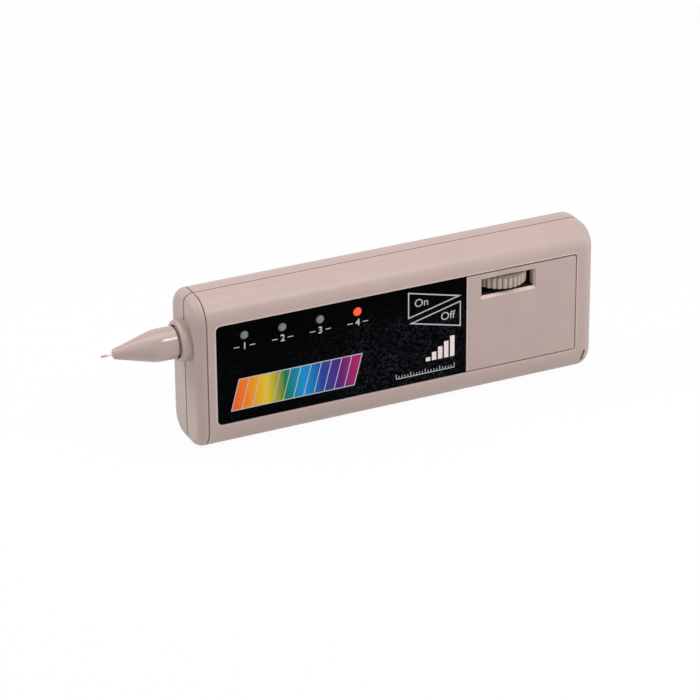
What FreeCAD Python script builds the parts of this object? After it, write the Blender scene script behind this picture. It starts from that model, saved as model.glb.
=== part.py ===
import FreeCAD, Part
import math
import operator
import os
import Sketcher
from FreeCAD import Placement, Rotation, Vector

# A hand-held diamond tester. X runs along its length with the probe at the low end, the printed front
# faces low Y, and Z runs up the width of the face, so that the tester stands on its long lower edge.
# The origin is on that edge, at the middle of the case's length and of its depth. Millimetres.
# Most pieces are drawn from the case's own corner: u from the probe end, v from the front, z from below.


# The driving sizes: the case
case_length = 142.5  # case along X, without the probe
case_height = 52  # case along Z
front_depth = 10.5  # front shell, face to parting plane
rear_depth = 11.5  # rear shell, parting plane to back
wall = 2  # wall of both shells
long_edge_radius = 8  # rounding of the four long edges
probe_end_radius = 3  # rounding round the probe end
butt_end_radius = 4.3  # rounding round the other end
seam_chamfer = 0.35  # chamfer of both shells at the seam
ring_groove_place = 3.1  # probe end to the ring groove
ring_groove_width = 0.45  # ring groove along X
ring_groove_depth = 0.5  # ring groove into the wall
pry_slot_length = 3.9  # pry slot along Z
pry_slot_width = 0.8  # pry slot along X
pry_slot_depth = 1.8  # pry slot into the corner
pry_slot_inset = 3.9  # butt end to the pry slot
pry_slot_height = 4.1  # pry slot's lower end above the lower edge

# The sunk panel on the front: the printed label, then the control cover
label_margin = 6.5  # probe end to the sunk panel
panel_end_margin = 7  # butt end to the sunk panel
panel_low_margin = 9  # lower edge to the sunk panel
panel_high_margin = 8.5  # upper edge to the sunk panel
cover_length = 40.6  # control cover's place along X
label_recess = 0.5  # label's recess into the face
label_thickness = 0.3  # label
label_gap = 0.1  # label to the edge of its recess
label_corner = 1.6  # corner radius of the label's recess
panel_rim = 0.25  # rounding of the sunk panel's edge
cover_thickness = 1.2  # control cover
cover_gap = 0.35  # visible seam round the control cover
cover_corner = 1  # corner radius of the cover's recess
seating = 0.05  # play under a piece that seats on another

# The four lamps
lamp_count = 4  # status lamps in the row
lamp_inset = 9.75  # label's edge to the first lamp
lamp_pitch = 13.18  # lamp to lamp
lamp_drop = 4.65  # panel's upper edge to the lamps
lamp_radius = 1.55  # lamp lens
lamp_length = 5.2  # lamp lens to flange
lamp_sink = 0.05  # lamp's tip behind the case's face
lamp_flange_radius = 1.85  # lamp flange
lamp_flange_height = 0.8  # lamp flange
lamp_clearance = 0.06  # lamp lens to the label's window
lamp_leg_radius = 0.25  # lamp leg
lamp_leg_pitch = 2.54  # between a lamp's legs
lamp_leg_past = 1  # lamp leg past the board

# The thumbwheel and its slot
slot_inset = 5.3  # cover's edge to the wheel slot
slot_length = 19.3  # wheel slot along X
slot_drop = 2.1  # panel's upper edge to the wheel slot
slot_height = 6.25  # wheel slot along Z
slot_depth = 2.9  # wheel slot's walls along Y
slot_wall = 0.8  # thickness of the wheel slot's walls
slot_sill = 0.9  # bevel of the wheel slot's lower edge
slot_jamb = 0.75  # bevel of the wheel slot's far edge
slot_wall_gap = 0.2  # slot walls to the window in the shell
wheel_radius = 9.2  # thumbwheel
wheel_thickness = 4.3  # thumbwheel along Z
wheel_proud = 1.5  # thumbwheel past the face
wheel_drop = 0.4  # slot's upper edge to the wheel
wheel_inset = 10.2  # slot's probe end to the wheel's axis
rib_count = 30  # ribs round the thumbwheel
rib_depth = 0.6  # depth between the ribs
rib_groove_width = 0.95  # width between the ribs
wheel_chamfer = 0.35  # chamfer of the wheel's rims
spindle_radius = 3  # spindle
spindle_fit = 0.05  # spindle to the potentiometer's bore
screw_well_radius = 4.4  # well under the wheel
screw_well_depth = 1.3  # well under the wheel
wheel_screw_radius = 2.6  # head of the wheel's screw
wheel_screw_head = 1.1  # height of the wheel screw's head
wheel_screw_shank = 1  # shank of the wheel's screw
wheel_screw_length = 5  # shank of the wheel's screw
pot_gap = 1.8  # wheel to the potentiometer
pot_radius = 4.8  # potentiometer
pot_height = 3.8  # potentiometer along Z
pot_tail_reach = 7.5  # potentiometer's axis to its tail
pot_tail_width = 7  # potentiometer's tail along Y
pin_thickness = 0.3  # potentiometer's solder pins
pin_width = 0.7  # potentiometer's solder pins
pin_pitch = 1.1  # between the potentiometer's pins
pin_overlap = 2  # pins on the board

# The probe
nose_drop = 15.7  # upper edge to the probe's axis
collar_radius = 7  # collar outside
collar_reach = 3.2  # collar past the case
collar_rounding = 0.9  # rounding of the collar's rim
collar_mouth_radius = 5.45  # mouth of the collar
collar_mouth_depth = 2.6  # mouth of the collar
neck_radius = 6.5  # collar's neck in the case
neck_fit = 0.05  # neck to the case
flange_radius = 7.5  # collar's flange inside the case
flange_thickness = 1.3  # collar's flange
stem_radius = 4.6  # sliding stem
stem_bore = 3.4  # bore of the sliding stem
stem_fit = 0.05  # stem to its bearings
stem_end = 12.4  # probe end to the stem's rear end
probe_travel = 1.2  # travel of the probe
nose_radius = 5.35  # nose, straight part
nose_back = 3.75  # probe end to the nose's rear edge
nose_shoulder = 10.4  # probe end to where the cone starts
nose_front = 24.5  # probe end to the nose's tip
nose_tip_radius = 1.55  # tip of the nose
nose_blend = 14  # rounding between the cone and the straight part
nose_rounding = 1.1  # rounding of the nose's tip
nose_back_chamfer = 0.3  # chamfer of the nose's rear edge
spigot_radius = 3.9  # stem's spigot in the nose
spigot_end = 11  # probe end to the spigot's end
nose_bore_end = 13  # probe end to the bore's end
sleeve_radius = 1.45  # insulating sleeve
sleeve_front = 22.3  # probe end to the sleeve's front
needle_radius = 0.36  # needle
needle_fit = 0.02  # needle to the nose's hole
needle_front = 28.3  # probe end to the needle's point
needle_rounding = 0.25  # rounding of the needle's point
needle_back = 13.6  # probe end to the needle's rear end
heater_radius = 1.2  # heating resistor
heater_length = 3  # heating resistor
bead_radius = 0.8  # thermistor bead
clip_groove_radius = 4.2  # groove for the retaining clip
clip_radius = 6.3  # retaining clip
clip_thickness = 0.6  # retaining clip
clip_opening = 5.4  # opening of the retaining clip
clip_gap = 0.1  # retaining clip to the collar
seat_radius = 6.7  # spring seat
seat_thickness = 1.6  # spring seat
seat_front = 9.6  # probe end to the spring seat
spring_wire = 0.28  # radius of the spring's wire
spring_radius = 5.3  # spring, middle of the wire
spring_turns = 4  # turns of the spring
saddle_lip = 0.8  # lips either side of the spring seat
saddle_bore = 6.1  # bore through the saddle's lips
saddle_margin = 2  # saddle beyond the spring seat

# The battery, its snap and its door
battery_length = 46.4  # battery without its terminals
battery_width = 26  # battery along Z
battery_thickness = 16.8  # battery along Y
battery_corner = 2.2  # rounding of the battery's long edges
battery_end_space = 9.7  # battery to the butt wall
battery_gap = 0.85  # battery to the wheel slot's walls
terminal_height = 2.1  # battery terminals
terminal_pitch = 12.7  # between the battery terminals
small_terminal = 2.9  # round terminal
large_terminal = 4.3  # six-sided terminal
snap_thickness = 2.6  # battery snap
snap_width = 23  # battery snap along Z
snap_depth = 12.4  # battery snap along Y
snap_corner = 4  # corners of the battery snap
lead_radius = 0.75  # battery lead
probe_lead_radius = 0.4  # probe lead
door_thickness = 1.6  # battery door
door_gap = 0.2  # battery door to its opening
door_latch_room = 2.6  # battery to the end of its opening
door_side_room = 0.1  # battery to the sides of its opening
opening_inset = 0.3  # snap to the start of the opening
tongue_reach = 1.8  # door tongues under the wall
tongue_thickness = 0.9  # door tongues
tongue_width = 4  # door tongues
tongue_spacing = 15  # between the door tongues
tongue_root = 1.4  # door tongues' root
latch_width = 6  # door latch
latch_thickness = 1.2  # door latch
latch_reach = 3  # door latch into the case
latch_setback = 0.4  # door's end to its latch
grip_count = 5  # finger grooves on the door
grip_pitch = 1.6  # between the finger grooves
grip_width = 0.8  # finger groove
grip_depth = 0.4  # finger groove
grip_length = 12  # finger groove along Z
grip_inset = 4  # door's end to the first finger groove
pad_thickness = 0.9  # foam pad on the door
pad_length = 26  # foam pad along X
pad_width = 14  # foam pad along Z

# The circuit board and what is on it
board_place = 9  # front face of the case to the board
board_thickness = 1.6  # circuit board
board_stem_gap = 0.8  # pushed-in stem to the board
board_snap_gap = 0.7  # board to the battery snap
board_margin = 4.5  # case's edges to the board
board_battery_gap = 2.5  # battery to the board's arm
board_wheel_gap = 1  # board's arm to the wheel
board_hole_inset = 4.5  # board's edges to its screw holes
board_post_radius = 2.5  # posts under the board
board_screw_radius = 1  # board screws
board_screw_head = 2  # head radius of the board screws
board_screw_head_height = 1.3  # head of the board screws
board_screw_length = 5  # shank of the board screws
thread_fit = 0.02  # screw to its pilot hole
hole_fit = 0.25  # screw to its clearance hole
part_gap = 1.5  # between neighbours on the board
chip_stand = 0.5  # chips above the board
chip_width = 6.4  # chips across their pin rows
chip_thickness = 3.3  # chips
chip_pin_spacing = 2.54  # between a chip's pins
chip_pin_width = 0.5  # a chip's pins
chip_gap = 0.8  # chips to the resistors above them
large_chip_pins = 7  # pins on each side of the large chip
small_chip_pins = 4  # pins on each side of the small chip
capacitor_radius = 3.15  # smoothing capacitors
capacitor_height = 7  # smoothing capacitors
resistor_radius = 1.15  # resistors
resistor_length = 6.3  # resistors
resistor_wire = 0.3  # radius of the resistors' wires
resistor_foot = 0.27  # radius of the wires' feet
resistor_gap = 0.5  # resistors to the lamps' legs
resistor_span = 10.16  # between a resistor's wire ends
resistor_spacing = 3.4  # between the resistors
resistor_count = 8  # resistors in the row
trimmer_side = 6.6  # trimmers
trimmer_height = 4.4  # trimmers
trimmer_slot = 0.6  # slot in a trimmer
regulator_radius = 2.4  # voltage regulator
regulator_height = 4.6  # voltage regulator
regulator_flat = 1.2  # regulator's axis to its flat
sounder_radius = 4.75  # sounder
sounder_height = 6.5  # sounder
sounder_hole = 1  # hole in the sounder
sounder_wall = 3  # board to the bottom of the sounder's hole
plug_length = 7.6  # probe plug along X
plug_depth = 5.6  # probe plug off the board
plug_height = 4.8  # probe plug along Z
plug_drop = 7.7  # probe's axis to the top of its plug
plug_clearance = 0.1  # board's edge to the probe plug

# The case screws
case_screw_radius = 1.25  # case screws
case_screw_head = 2.2  # head radius of the case screws
case_screw_head_height = 1.8  # head of the case screws
case_screw_length = 11  # shank of the case screws
screw_head_sink = 6  # back of the case to the screw heads' seats
screw_head_room = 0.2  # screw heads to their wells
cross_width = 0.6  # cross in a screw head
cross_depth = 0.7  # cross in a screw head
boss_radius = 3  # front screw bosses
boss_wall = 1  # wall round the screw heads' wells
boss_floor = 1  # boss beyond its pilot hole
boss_probe_inset = 8.5  # probe end to its screws
boss_probe_low = 7  # lower edge to the lower probe-end screw
boss_probe_high = 5.7  # upper edge to the upper probe-end screw
boss_butt_inset = 4.9  # butt end to its screws
boss_butt_margin = 8.5  # long edges to the butt-end screws
joint_overlap = 0.05  # how far a boss or rib runs into its wall

document = FreeCAD.newDocument("DiamondTester")
sheet = document.addObject("Spreadsheet::Sheet", "Sizes")
pieces = []
arithmetic = {"+": operator.add, "-": operator.sub, "*": operator.mul, "/": operator.truediv}


class Size:
    """A size as a formula on the sheet's cells, with its present value."""

    def __init__(self, formula, value):
        self.formula = formula
        self.value = value

    def __add__(self, other):
        return combined(self, "+", other)

    def __radd__(self, other):
        return combined(other, "+", self)

    def __sub__(self, other):
        return combined(self, "-", other)

    def __rsub__(self, other):
        return combined(other, "-", self)

    def __mul__(self, other):
        return combined(self, "*", other)

    def __rmul__(self, other):
        return combined(other, "*", self)

    def __truediv__(self, other):
        return combined(self, "/", other)

    def __neg__(self):
        return combined(0, "-", self)


def near(first, second, tolerance=0.001):
    return abs(first - second) < tolerance


def as_size(number):
    if isinstance(number, Size):
        return number
    return Size(repr(float(number)), float(number))


def combined(first, sign, second):
    first, second = as_size(first), as_size(second)
    return Size(f"({first.formula} {sign} {second.formula})",
                arithmetic[sign](first.value, second.value))


def put_on_sheet(names):
    """Gives each driving size its own cell. From here on its name stands for that cell."""
    numbers = {name: value for name, value in names.items() if type(value) in (int, float)}
    for row, (name, value) in enumerate(numbers.items(), 1):
        sheet.set(f"A{row}", name.replace("_", " "))
        sheet.set(f"B{row}", str(value))
        sheet.setAlias(f"B{row}", name)
        names[name] = Size(f"Sizes.{name}", float(value))
    document.recompute()


put_on_sheet(globals())

# Places worked out from the driving sizes, from the case's own corner
case_depth = front_depth + rear_depth
nose_z = case_height - nose_drop
panel_right = case_length - panel_end_margin
panel_top = case_height - panel_high_margin
cover_left = panel_right - cover_length
lamp_z = panel_top - lamp_drop
first_lamp = label_margin + lamp_inset
slot_left = cover_left + slot_inset
slot_right = slot_left + slot_length
slot_top = panel_top - slot_drop
slot_bottom = slot_top - slot_height
wheel_u = slot_left + wheel_inset
wheel_v = wheel_radius - wheel_proud
wheel_bottom = slot_top - wheel_drop - wheel_thickness
pot_bottom = wheel_bottom + wheel_thickness + pot_gap
flange_front = wall + joint_overlap
clip_front = flange_front + flange_thickness + clip_gap
clip_back = clip_front + clip_thickness
battery_right = case_length - wall - battery_end_space
battery_left = battery_right - battery_length
battery_top = slot_bottom - slot_wall - battery_gap
battery_bottom = battery_top - battery_width
battery_front = (case_depth - battery_thickness) / 2
battery_back = battery_front + battery_thickness
battery_z = (battery_top + battery_bottom) / 2
snap_right = battery_left - terminal_height
snap_left = snap_right - snap_thickness
opening_left = snap_left + opening_inset
opening_right = battery_right + door_latch_room
opening_bottom = battery_bottom - door_side_room
opening_top = battery_top + door_side_room
door_left = opening_left + door_gap
door_right = opening_right - door_gap
door_front = case_depth - door_thickness
board_back = board_place + board_thickness
board_left = stem_end + probe_travel + board_stem_gap
board_right = snap_left - board_snap_gap
board_top = case_height - board_margin
arm_bottom = battery_top + board_battery_gap
arm_right = wheel_u - wheel_radius - board_wheel_gap
probe_plug_top = nose_z - plug_drop
bead_back = heater_length + 2 * bead_radius - needle_back
boss_places = [(boss_probe_inset, boss_probe_low),
               (boss_probe_inset, case_height - boss_probe_high),
               (case_length - boss_butt_inset, boss_butt_margin),
               (case_length - boss_butt_inset, case_height - boss_butt_margin)]
board_holes = [(board_left + board_hole_inset, board_margin + board_hole_inset),
               (board_right - board_hole_inset, board_margin + board_hole_inset),
               (board_right - board_hole_inset, board_top - board_hole_inset),
               (first_lamp + lamp_pitch / 2, board_top - board_hole_inset / 2)]


def bind(thing, setting, length):
    thing.setExpression(setting, as_size(length).formula)


def place(thing, x=0, y=0, z=0):
    for axis, length in zip("xyz", (x, y, z)):
        bind(thing, f"Placement.Base.{axis}", length)


def place_in_case(thing, u=0, v=0, z=0):
    """Puts a thing at u, v and z from the case's own corner."""
    place(thing, u - case_length / 2, v - case_depth / 2, z)


def finished(thing, label):
    """Names a sub-part and counts it in."""
    thing.Label = label
    pieces.append(thing)
    return thing


def new_body(label):
    return finished(document.addObject("PartDesign::Body", label), label)


def case_body(label):
    """A body drawn from the case's own corner."""
    body = new_body(label)
    place_in_case(body)
    return body


def drawing(body, plane, height=0):
    """A sketch on one of the body's own planes, moved along that plane's normal."""
    sketch = body.newObject("Sketcher::SketchObject", "Sketch")
    origin_plane = next(item for item in body.Origin.OriginFeatures if item.Role == plane)
    sketch.AttachmentSupport = [(origin_plane, "")]
    sketch.MapMode = "FlatFace"
    bind(sketch, "AttachmentOffset.Base.z", height)
    return sketch


def facing(body, v):
    """A sketch in u and z at a depth v. Its normal points to the front."""
    return drawing(body, "XZ_Plane", -as_size(v))


def across(body, u):
    """A sketch in v and z at a length u. Its normal points away from the probe."""
    return drawing(body, "YZ_Plane", u)


def fix_point(sketch, shape, end, x, y):
    """Ties one point of a sketch to its two sizes."""
    for way, length in (("X", as_size(x)), ("Y", as_size(y))):
        number = sketch.addConstraint(
            Sketcher.Constraint(f"Distance{way}", -1, 1, shape, end, length.value))
        name = f"{way.lower()}{shape}_{end}"
        sketch.renameConstraint(number, name)
        bind(sketch, f"Constraints.{name}", length)


def fix_radius(sketch, shape, radius):
    number = sketch.addConstraint(Sketcher.Constraint("Radius", shape, as_size(radius).value))
    sketch.renameConstraint(number, f"radius{shape}")
    bind(sketch, f"Constraints.radius{shape}", radius)


def point_of(corner):
    return Vector(as_size(corner[0]).value, as_size(corner[1]).value, 0)


def polygon(sketch, corners):
    """A closed outline of straight lines through corners given as sizes."""
    first = sketch.GeometryCount
    count = len(corners)
    for number, corner in enumerate(corners):
        following = corners[(number + 1) % count]
        sketch.addGeometry(Part.LineSegment(point_of(corner), point_of(following)))
    for number, corner in enumerate(corners):
        sketch.addConstraint(Sketcher.Constraint(
            "Coincident", first + number, 2, first + (number + 1) % count, 1))
        fix_point(sketch, first + number, 1, *corner)
    return sketch


def rectangle(sketch, low_x, high_x, low_y, high_y):
    return polygon(sketch, [(low_x, low_y), (high_x, low_y), (high_x, high_y), (low_x, high_y)])


def circle(sketch, x, y, radius):
    number = sketch.addGeometry(
        Part.Circle(point_of((x, y)), Vector(0, 0, 1), as_size(radius).value))
    fix_point(sketch, number, 3, x, y)
    fix_radius(sketch, number, radius)
    return sketch


def circles(sketch, places, radius):
    for x, y in places:
        circle(sketch, x, y, radius)
    return sketch


def rounded_rectangle(sketch, low_x, high_x, low_y, high_y, radius):
    """Four sides and four corner arcs, each tied at both of its ends."""
    first = sketch.GeometryCount
    ends = [((low_x + radius, low_y), (high_x - radius, low_y)),
            ((high_x, low_y + radius), (high_x, high_y - radius)),
            ((high_x - radius, high_y), (low_x + radius, high_y)),
            ((low_x, high_y - radius), (low_x, low_y + radius))]
    middles = [(high_x - radius, low_y + radius), (high_x - radius, high_y - radius),
               (low_x + radius, high_y - radius), (low_x + radius, low_y + radius)]
    for start, end in ends:
        sketch.addGeometry(Part.LineSegment(point_of(start), point_of(end)))
    for number, middle in enumerate(middles):
        turn = math.pi / 2
        round_corner = Part.Circle(point_of(middle), Vector(0, 0, 1), as_size(radius).value)
        start = (number - 1) * turn
        sketch.addGeometry(Part.ArcOfCircle(round_corner, start, start + turn))
    for number, (start, end) in enumerate(ends):
        fix_point(sketch, first + number, 1, *start)
        fix_point(sketch, first + number, 2, *end)
        corner = first + 4 + number
        sketch.addConstraint(Sketcher.Constraint("Coincident", corner, 1, first + number, 2))
        sketch.addConstraint(Sketcher.Constraint(
            "Coincident", corner, 2, first + (number + 1) % 4, 1))
        fix_radius(sketch, corner, radius)
    return sketch


def grown(body, kind, sketch, length, reverse):
    feature = body.newObject(f"PartDesign::{kind}", kind)
    feature.Profile = sketch
    bind(feature, "Length", length)
    feature.Reversed = reverse
    document.recompute()
    return feature


def pad(body, sketch, length, reverse=False):
    """Adds along the sketch's normal, or against it."""
    return grown(body, "Pad", sketch, length, reverse)


def pocket(body, sketch, depth, reverse=False):
    """Cuts against the sketch's normal, or along it, and must remove something."""
    volume = body.Shape.Volume
    feature = grown(body, "Pocket", sketch, depth, reverse)
    if near(body.Shape.Volume, volume):
        raise ValueError(f"a pocket of {body.Label} removed nothing")
    return feature


def turned(body, corners, about="H_Axis", plane="XZ_Plane"):
    """A solid of revolution of a polygon about its sketch's own axis."""
    sketch = polygon(drawing(body, plane), corners)
    feature = body.newObject("PartDesign::Revolution", "Revolution")
    feature.Profile = sketch
    feature.ReferenceAxis = (sketch, [about])
    feature.Angle = 360
    document.recompute()
    return feature


def edge_names(shape, chosen):
    return [f"Edge{number}" for number, edge in enumerate(shape.Edges, 1) if chosen(edge)]


def extent(edge, axis):
    box = edge.BoundBox
    return {"x": (box.XMin, box.XMax), "y": (box.YMin, box.YMax), "z": (box.ZMin, box.ZMax)}[axis]


def lies_at(edge, **places):
    """Whether an edge or face lies wholly at the given place along each named axis."""
    return all(near(limit, as_size(where).value) for axis, where in places.items()
               for limit in extent(edge, axis))


def runs_along(edge, axis):
    """Whether an edge is parallel to an axis."""
    return all(near(*extent(edge, other)) for other in "xyz" if other != axis)


def dressed(body, kind, setting, chosen, size):
    base = body.Tip
    names = edge_names(base.Shape, chosen)
    if not names:
        raise ValueError(f"{body.Label} has no edge for its {kind}")
    feature = body.newObject(f"PartDesign::{kind}", kind)
    feature.Base = (base, names)
    bind(feature, setting, size)
    document.recompute()
    return feature


def fillet(body, chosen, radius):
    return dressed(body, "Fillet", "Radius", chosen, radius)


def chamfer(body, chosen, size):
    return dressed(body, "Chamfer", "Size", chosen, size)


def block(u, v, z, length, depth, height):
    """A plain box from a corner in the case."""
    box = document.addObject("Part::Box", "Box")
    bind(box, "Length", length)
    bind(box, "Width", depth)
    bind(box, "Height", height)
    place_in_case(box, u, v, z)
    return box


turn_to = {"x": Rotation(Vector(0, 1, 0), 90), "y": Rotation(Vector(1, 0, 0), -90),
           "z": Rotation(), "-x": Rotation(Vector(0, 1, 0), -90)}


def rod(axis, u, v, z, radius, length):
    """A plain cylinder from the middle of one end, along an axis."""
    cylinder = document.addObject("Part::Cylinder", "Cylinder")
    bind(cylinder, "Radius", radius)
    bind(cylinder, "Height", length)
    cylinder.Placement = Placement(Vector(), turn_to[axis])
    place_in_case(cylinder, u, v, z)
    return cylinder


def joined(shapes):
    fusion = document.addObject("Part::MultiFuse", "Fusion")
    fusion.Shapes = shapes
    return fusion


def less(base, tool):
    cut = document.addObject("Part::Cut", "Cut")
    cut.Base = base
    cut.Tool = tool
    return cut


def grouped(label, shapes):
    """Several separate solids of one kind in one node."""
    group = document.addObject("Part::Compound", label)
    group.Links = shapes
    return finished(group, label)


def times(count):
    return range(int(count.value))


def shell_outline(body, from_v, depth):
    """The half of the case between two depths, rounded and hollowed from its parting side."""
    pad(body, rectangle(across(body, 0), from_v, from_v + depth, 0, case_height), case_length)
    outer_v = 0 if as_size(from_v).value == 0 else case_depth
    fillet(body, lambda edge: runs_along(edge, "x") and lies_at(edge, y=outer_v), long_edge_radius)

    def outer_edge_at(u):
        return lambda edge: lies_at(edge, x=u) and not lies_at(edge, y=front_depth)

    fillet(body, outer_edge_at(case_length), butt_end_radius)
    fillet(body, outer_edge_at(0), probe_end_radius)
    solid = body.Tip
    parting = [f"Face{number}" for number, face in enumerate(solid.Shape.Faces, 1)
               if lies_at(face, y=front_depth)]
    hollow = body.newObject("PartDesign::Thickness", "Thickness")
    hollow.Base = (solid, parting)
    bind(hollow, "Value", wall)
    hollow.Reversed = True
    document.recompute()

    def on_outer_outline(edge):
        if not lies_at(edge, y=front_depth):
            return False
        middle = edge.valueAt((edge.FirstParameter + edge.LastParameter) / 2)
        margin = wall.value / 2
        between_ends = margin < middle.x < case_length.value - margin
        between_sides = margin < middle.z < case_height.value - margin
        return not (between_ends and between_sides)

    chamfer(body, on_outer_outline, seam_chamfer)


def ring_groove(body):
    """The shallow groove that runs round the whole case by the probe end."""
    sketch = across(body, ring_groove_place)
    rectangle(sketch, -wall, case_depth + wall, -wall, case_height + wall)
    rounded_rectangle(sketch, ring_groove_depth, case_depth - ring_groove_depth, ring_groove_depth,
                      case_height - ring_groove_depth, long_edge_radius - ring_groove_depth)
    pocket(body, sketch, ring_groove_width, reverse=True)


def probe_saddle(body, from_v, depth):
    """The rib that holds the spring seat, and the half hole for the collar's neck."""
    saddle_front = seat_front - seating - saddle_lip
    saddle_length = seat_thickness + 2 * seating + 2 * saddle_lip
    reach = seat_radius + saddle_margin
    pad(body, rectangle(across(body, saddle_front), from_v, from_v + depth, nose_z - reach, nose_z + reach),
        saddle_length)
    pocket(body, circle(across(body, saddle_front), front_depth, nose_z, saddle_bore), saddle_length,
           reverse=True)
    pocket(body, circle(across(body, seat_front - seating), front_depth, nose_z, seat_radius + seating),
           seat_thickness + 2 * seating, reverse=True)
    pocket(body, circle(across(body, -wall), front_depth, nose_z, neck_radius + neck_fit), 3 * wall,
           reverse=True)


def on_panel_rim(edge):
    """Whether an edge of the case's face goes round the sunk panel."""
    box = edge.BoundBox
    return (lies_at(edge, y=0) and box.XMin > label_margin.value - wall.value / 2
            and box.XMax < panel_right.value + wall.value / 2
            and box.ZMin > panel_low_margin.value - wall.value / 4
            and box.ZMax < panel_top.value + wall.value / 8)


def front_shell():
    body = case_body("front_shell")
    shell_outline(body, 0, front_depth)
    ring_groove(body)
    probe_saddle(body, wall - joint_overlap, front_depth - wall + joint_overlap)
    pocket(body, rectangle(facing(body, 0), label_margin, panel_right, panel_low_margin, panel_top),
           label_recess)
    fillet(body, lambda edge: runs_along(edge, "y") and lies_at(edge, x=label_margin), label_corner)
    pocket(body, rectangle(facing(body, 0), cover_left, panel_right, panel_low_margin, panel_top),
           cover_thickness + seating)
    fillet(body, lambda edge: runs_along(edge, "y") and lies_at(edge, x=panel_right), cover_corner)
    fillet(body, on_panel_rim, panel_rim)
    window = slot_wall + slot_wall_gap
    pocket(body, rectangle(facing(body, 0), slot_left - window, slot_right + window,
                           slot_bottom - window, slot_top + window), wall)
    lamp_places = [(first_lamp + number * lamp_pitch, lamp_z) for number in times(lamp_count)]
    pocket(body, circles(facing(body, 0), lamp_places, lamp_flange_radius), wall)
    inside = wall - joint_overlap
    pad(body, circles(facing(body, inside), boss_places, boss_radius), front_depth - inside, reverse=True)
    pocket(body, circles(facing(body, front_depth), boss_places, case_screw_radius + thread_fit),
           front_depth - wall - boss_floor, reverse=True)
    pad(body, circles(facing(body, inside), board_holes, board_post_radius), board_place - inside,
        reverse=True)
    pocket(body, circles(facing(body, board_place), board_holes, board_screw_radius + thread_fit),
           board_place - wall - boss_floor, reverse=True)
    pry_left = case_length - pry_slot_inset
    pocket(body, polygon(facing(body, 0), [
        (pry_left - pry_slot_width, pry_slot_height), (pry_left, pry_slot_height),
        (pry_left + pry_slot_width, pry_slot_height + pry_slot_length),
        (pry_left, pry_slot_height + pry_slot_length)]), pry_slot_depth)


def rear_shell():
    body = case_body("rear_shell")
    shell_outline(body, front_depth, rear_depth)
    ring_groove(body)
    inner_depth = rear_depth - wall + joint_overlap
    probe_saddle(body, front_depth, inner_depth)
    well_radius = case_screw_head + screw_head_room
    pad(body, circles(facing(body, front_depth), boss_places, well_radius + boss_wall), inner_depth,
        reverse=True)
    pocket(body, circles(facing(body, case_depth), boss_places, well_radius), screw_head_sink, reverse=True)
    pocket(body, circles(facing(body, case_depth), boss_places, case_screw_radius + hole_fit), rear_depth,
           reverse=True)
    pocket(body, rectangle(facing(body, case_depth), opening_left, opening_right,
                           opening_bottom, opening_top), wall, reverse=True)


def front_label():
    """The printed label with a window over each lamp."""
    body = case_body("front_label")
    back = label_recess
    pad(body, rectangle(facing(body, back), label_margin + label_gap, cover_left - seating,
                        panel_low_margin + label_gap, panel_top - label_gap), label_thickness)
    fillet(body, lambda edge: runs_along(edge, "y") and lies_at(edge, x=label_margin + label_gap),
           label_corner - label_gap)
    lamp_places = [(first_lamp + number * lamp_pitch, lamp_z) for number in times(lamp_count)]
    pocket(body, circles(facing(body, back - label_thickness), lamp_places, lamp_radius + lamp_clearance),
           label_thickness)


def control_cover():
    """The plate over the wheel, with a walled slot."""
    body = case_body("control_cover")
    right = panel_right - cover_gap
    pad(body, rectangle(facing(body, 0), cover_left, right, panel_low_margin + cover_gap,
                        panel_top - cover_gap), cover_thickness, reverse=True)
    fillet(body, lambda edge: runs_along(edge, "y") and lies_at(edge, x=right), cover_corner - cover_gap)
    pad(body, rectangle(facing(body, cover_thickness), slot_left - slot_wall, slot_right + slot_wall,
                        slot_bottom - slot_wall, slot_top + slot_wall), slot_depth - cover_thickness,
        reverse=True)
    pocket(body, rectangle(facing(body, 0), slot_left, slot_right, slot_bottom, slot_top), slot_depth)
    chamfer(body, lambda edge: lies_at(edge, y=0, z=slot_bottom), slot_sill)
    chamfer(body, lambda edge: lies_at(edge, y=0, x=slot_right), slot_jamb)


def status_lamps():
    """Four lamps, each a lens with a domed tip, a flange and two legs."""
    for number in times(lamp_count):
        body = new_body(f"status_lamp_{number + 1}")
        place_in_case(body, first_lamp + number * lamp_pitch, lamp_sink, lamp_z)
        tip_flat = lamp_radius / 2
        turned(body, [(0, 0), (tip_flat, 0), (lamp_radius, lamp_radius / 3), (lamp_radius, lamp_length),
                      (0, lamp_length)], "V_Axis", "XY_Plane")
        pad(body, circle(facing(body, lamp_length), 0, 0, lamp_flange_radius), lamp_flange_height)
        legs = facing(body, lamp_length)
        for side in (-1, 1):
            circle(legs, 0, side * lamp_leg_pitch / 2, lamp_leg_radius)
        pad(body, legs, board_back + lamp_leg_past - lamp_sink - lamp_length, reverse=True)


def lamp_spacers():
    spacers = []
    start = lamp_sink + lamp_length
    length = board_place - start
    for number in times(lamp_count):
        u = first_lamp + number * lamp_pitch
        bores = [rod("y", u, start, lamp_z + side * lamp_leg_pitch / 2, lamp_leg_radius + spindle_fit, length)
                 for side in (-1, 1)]
        spacers.append(less(rod("y", u, start, lamp_z, lamp_flange_radius + spindle_fit, length),
                            joined(bores)))
    grouped("lamp_spacers", spacers)


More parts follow.
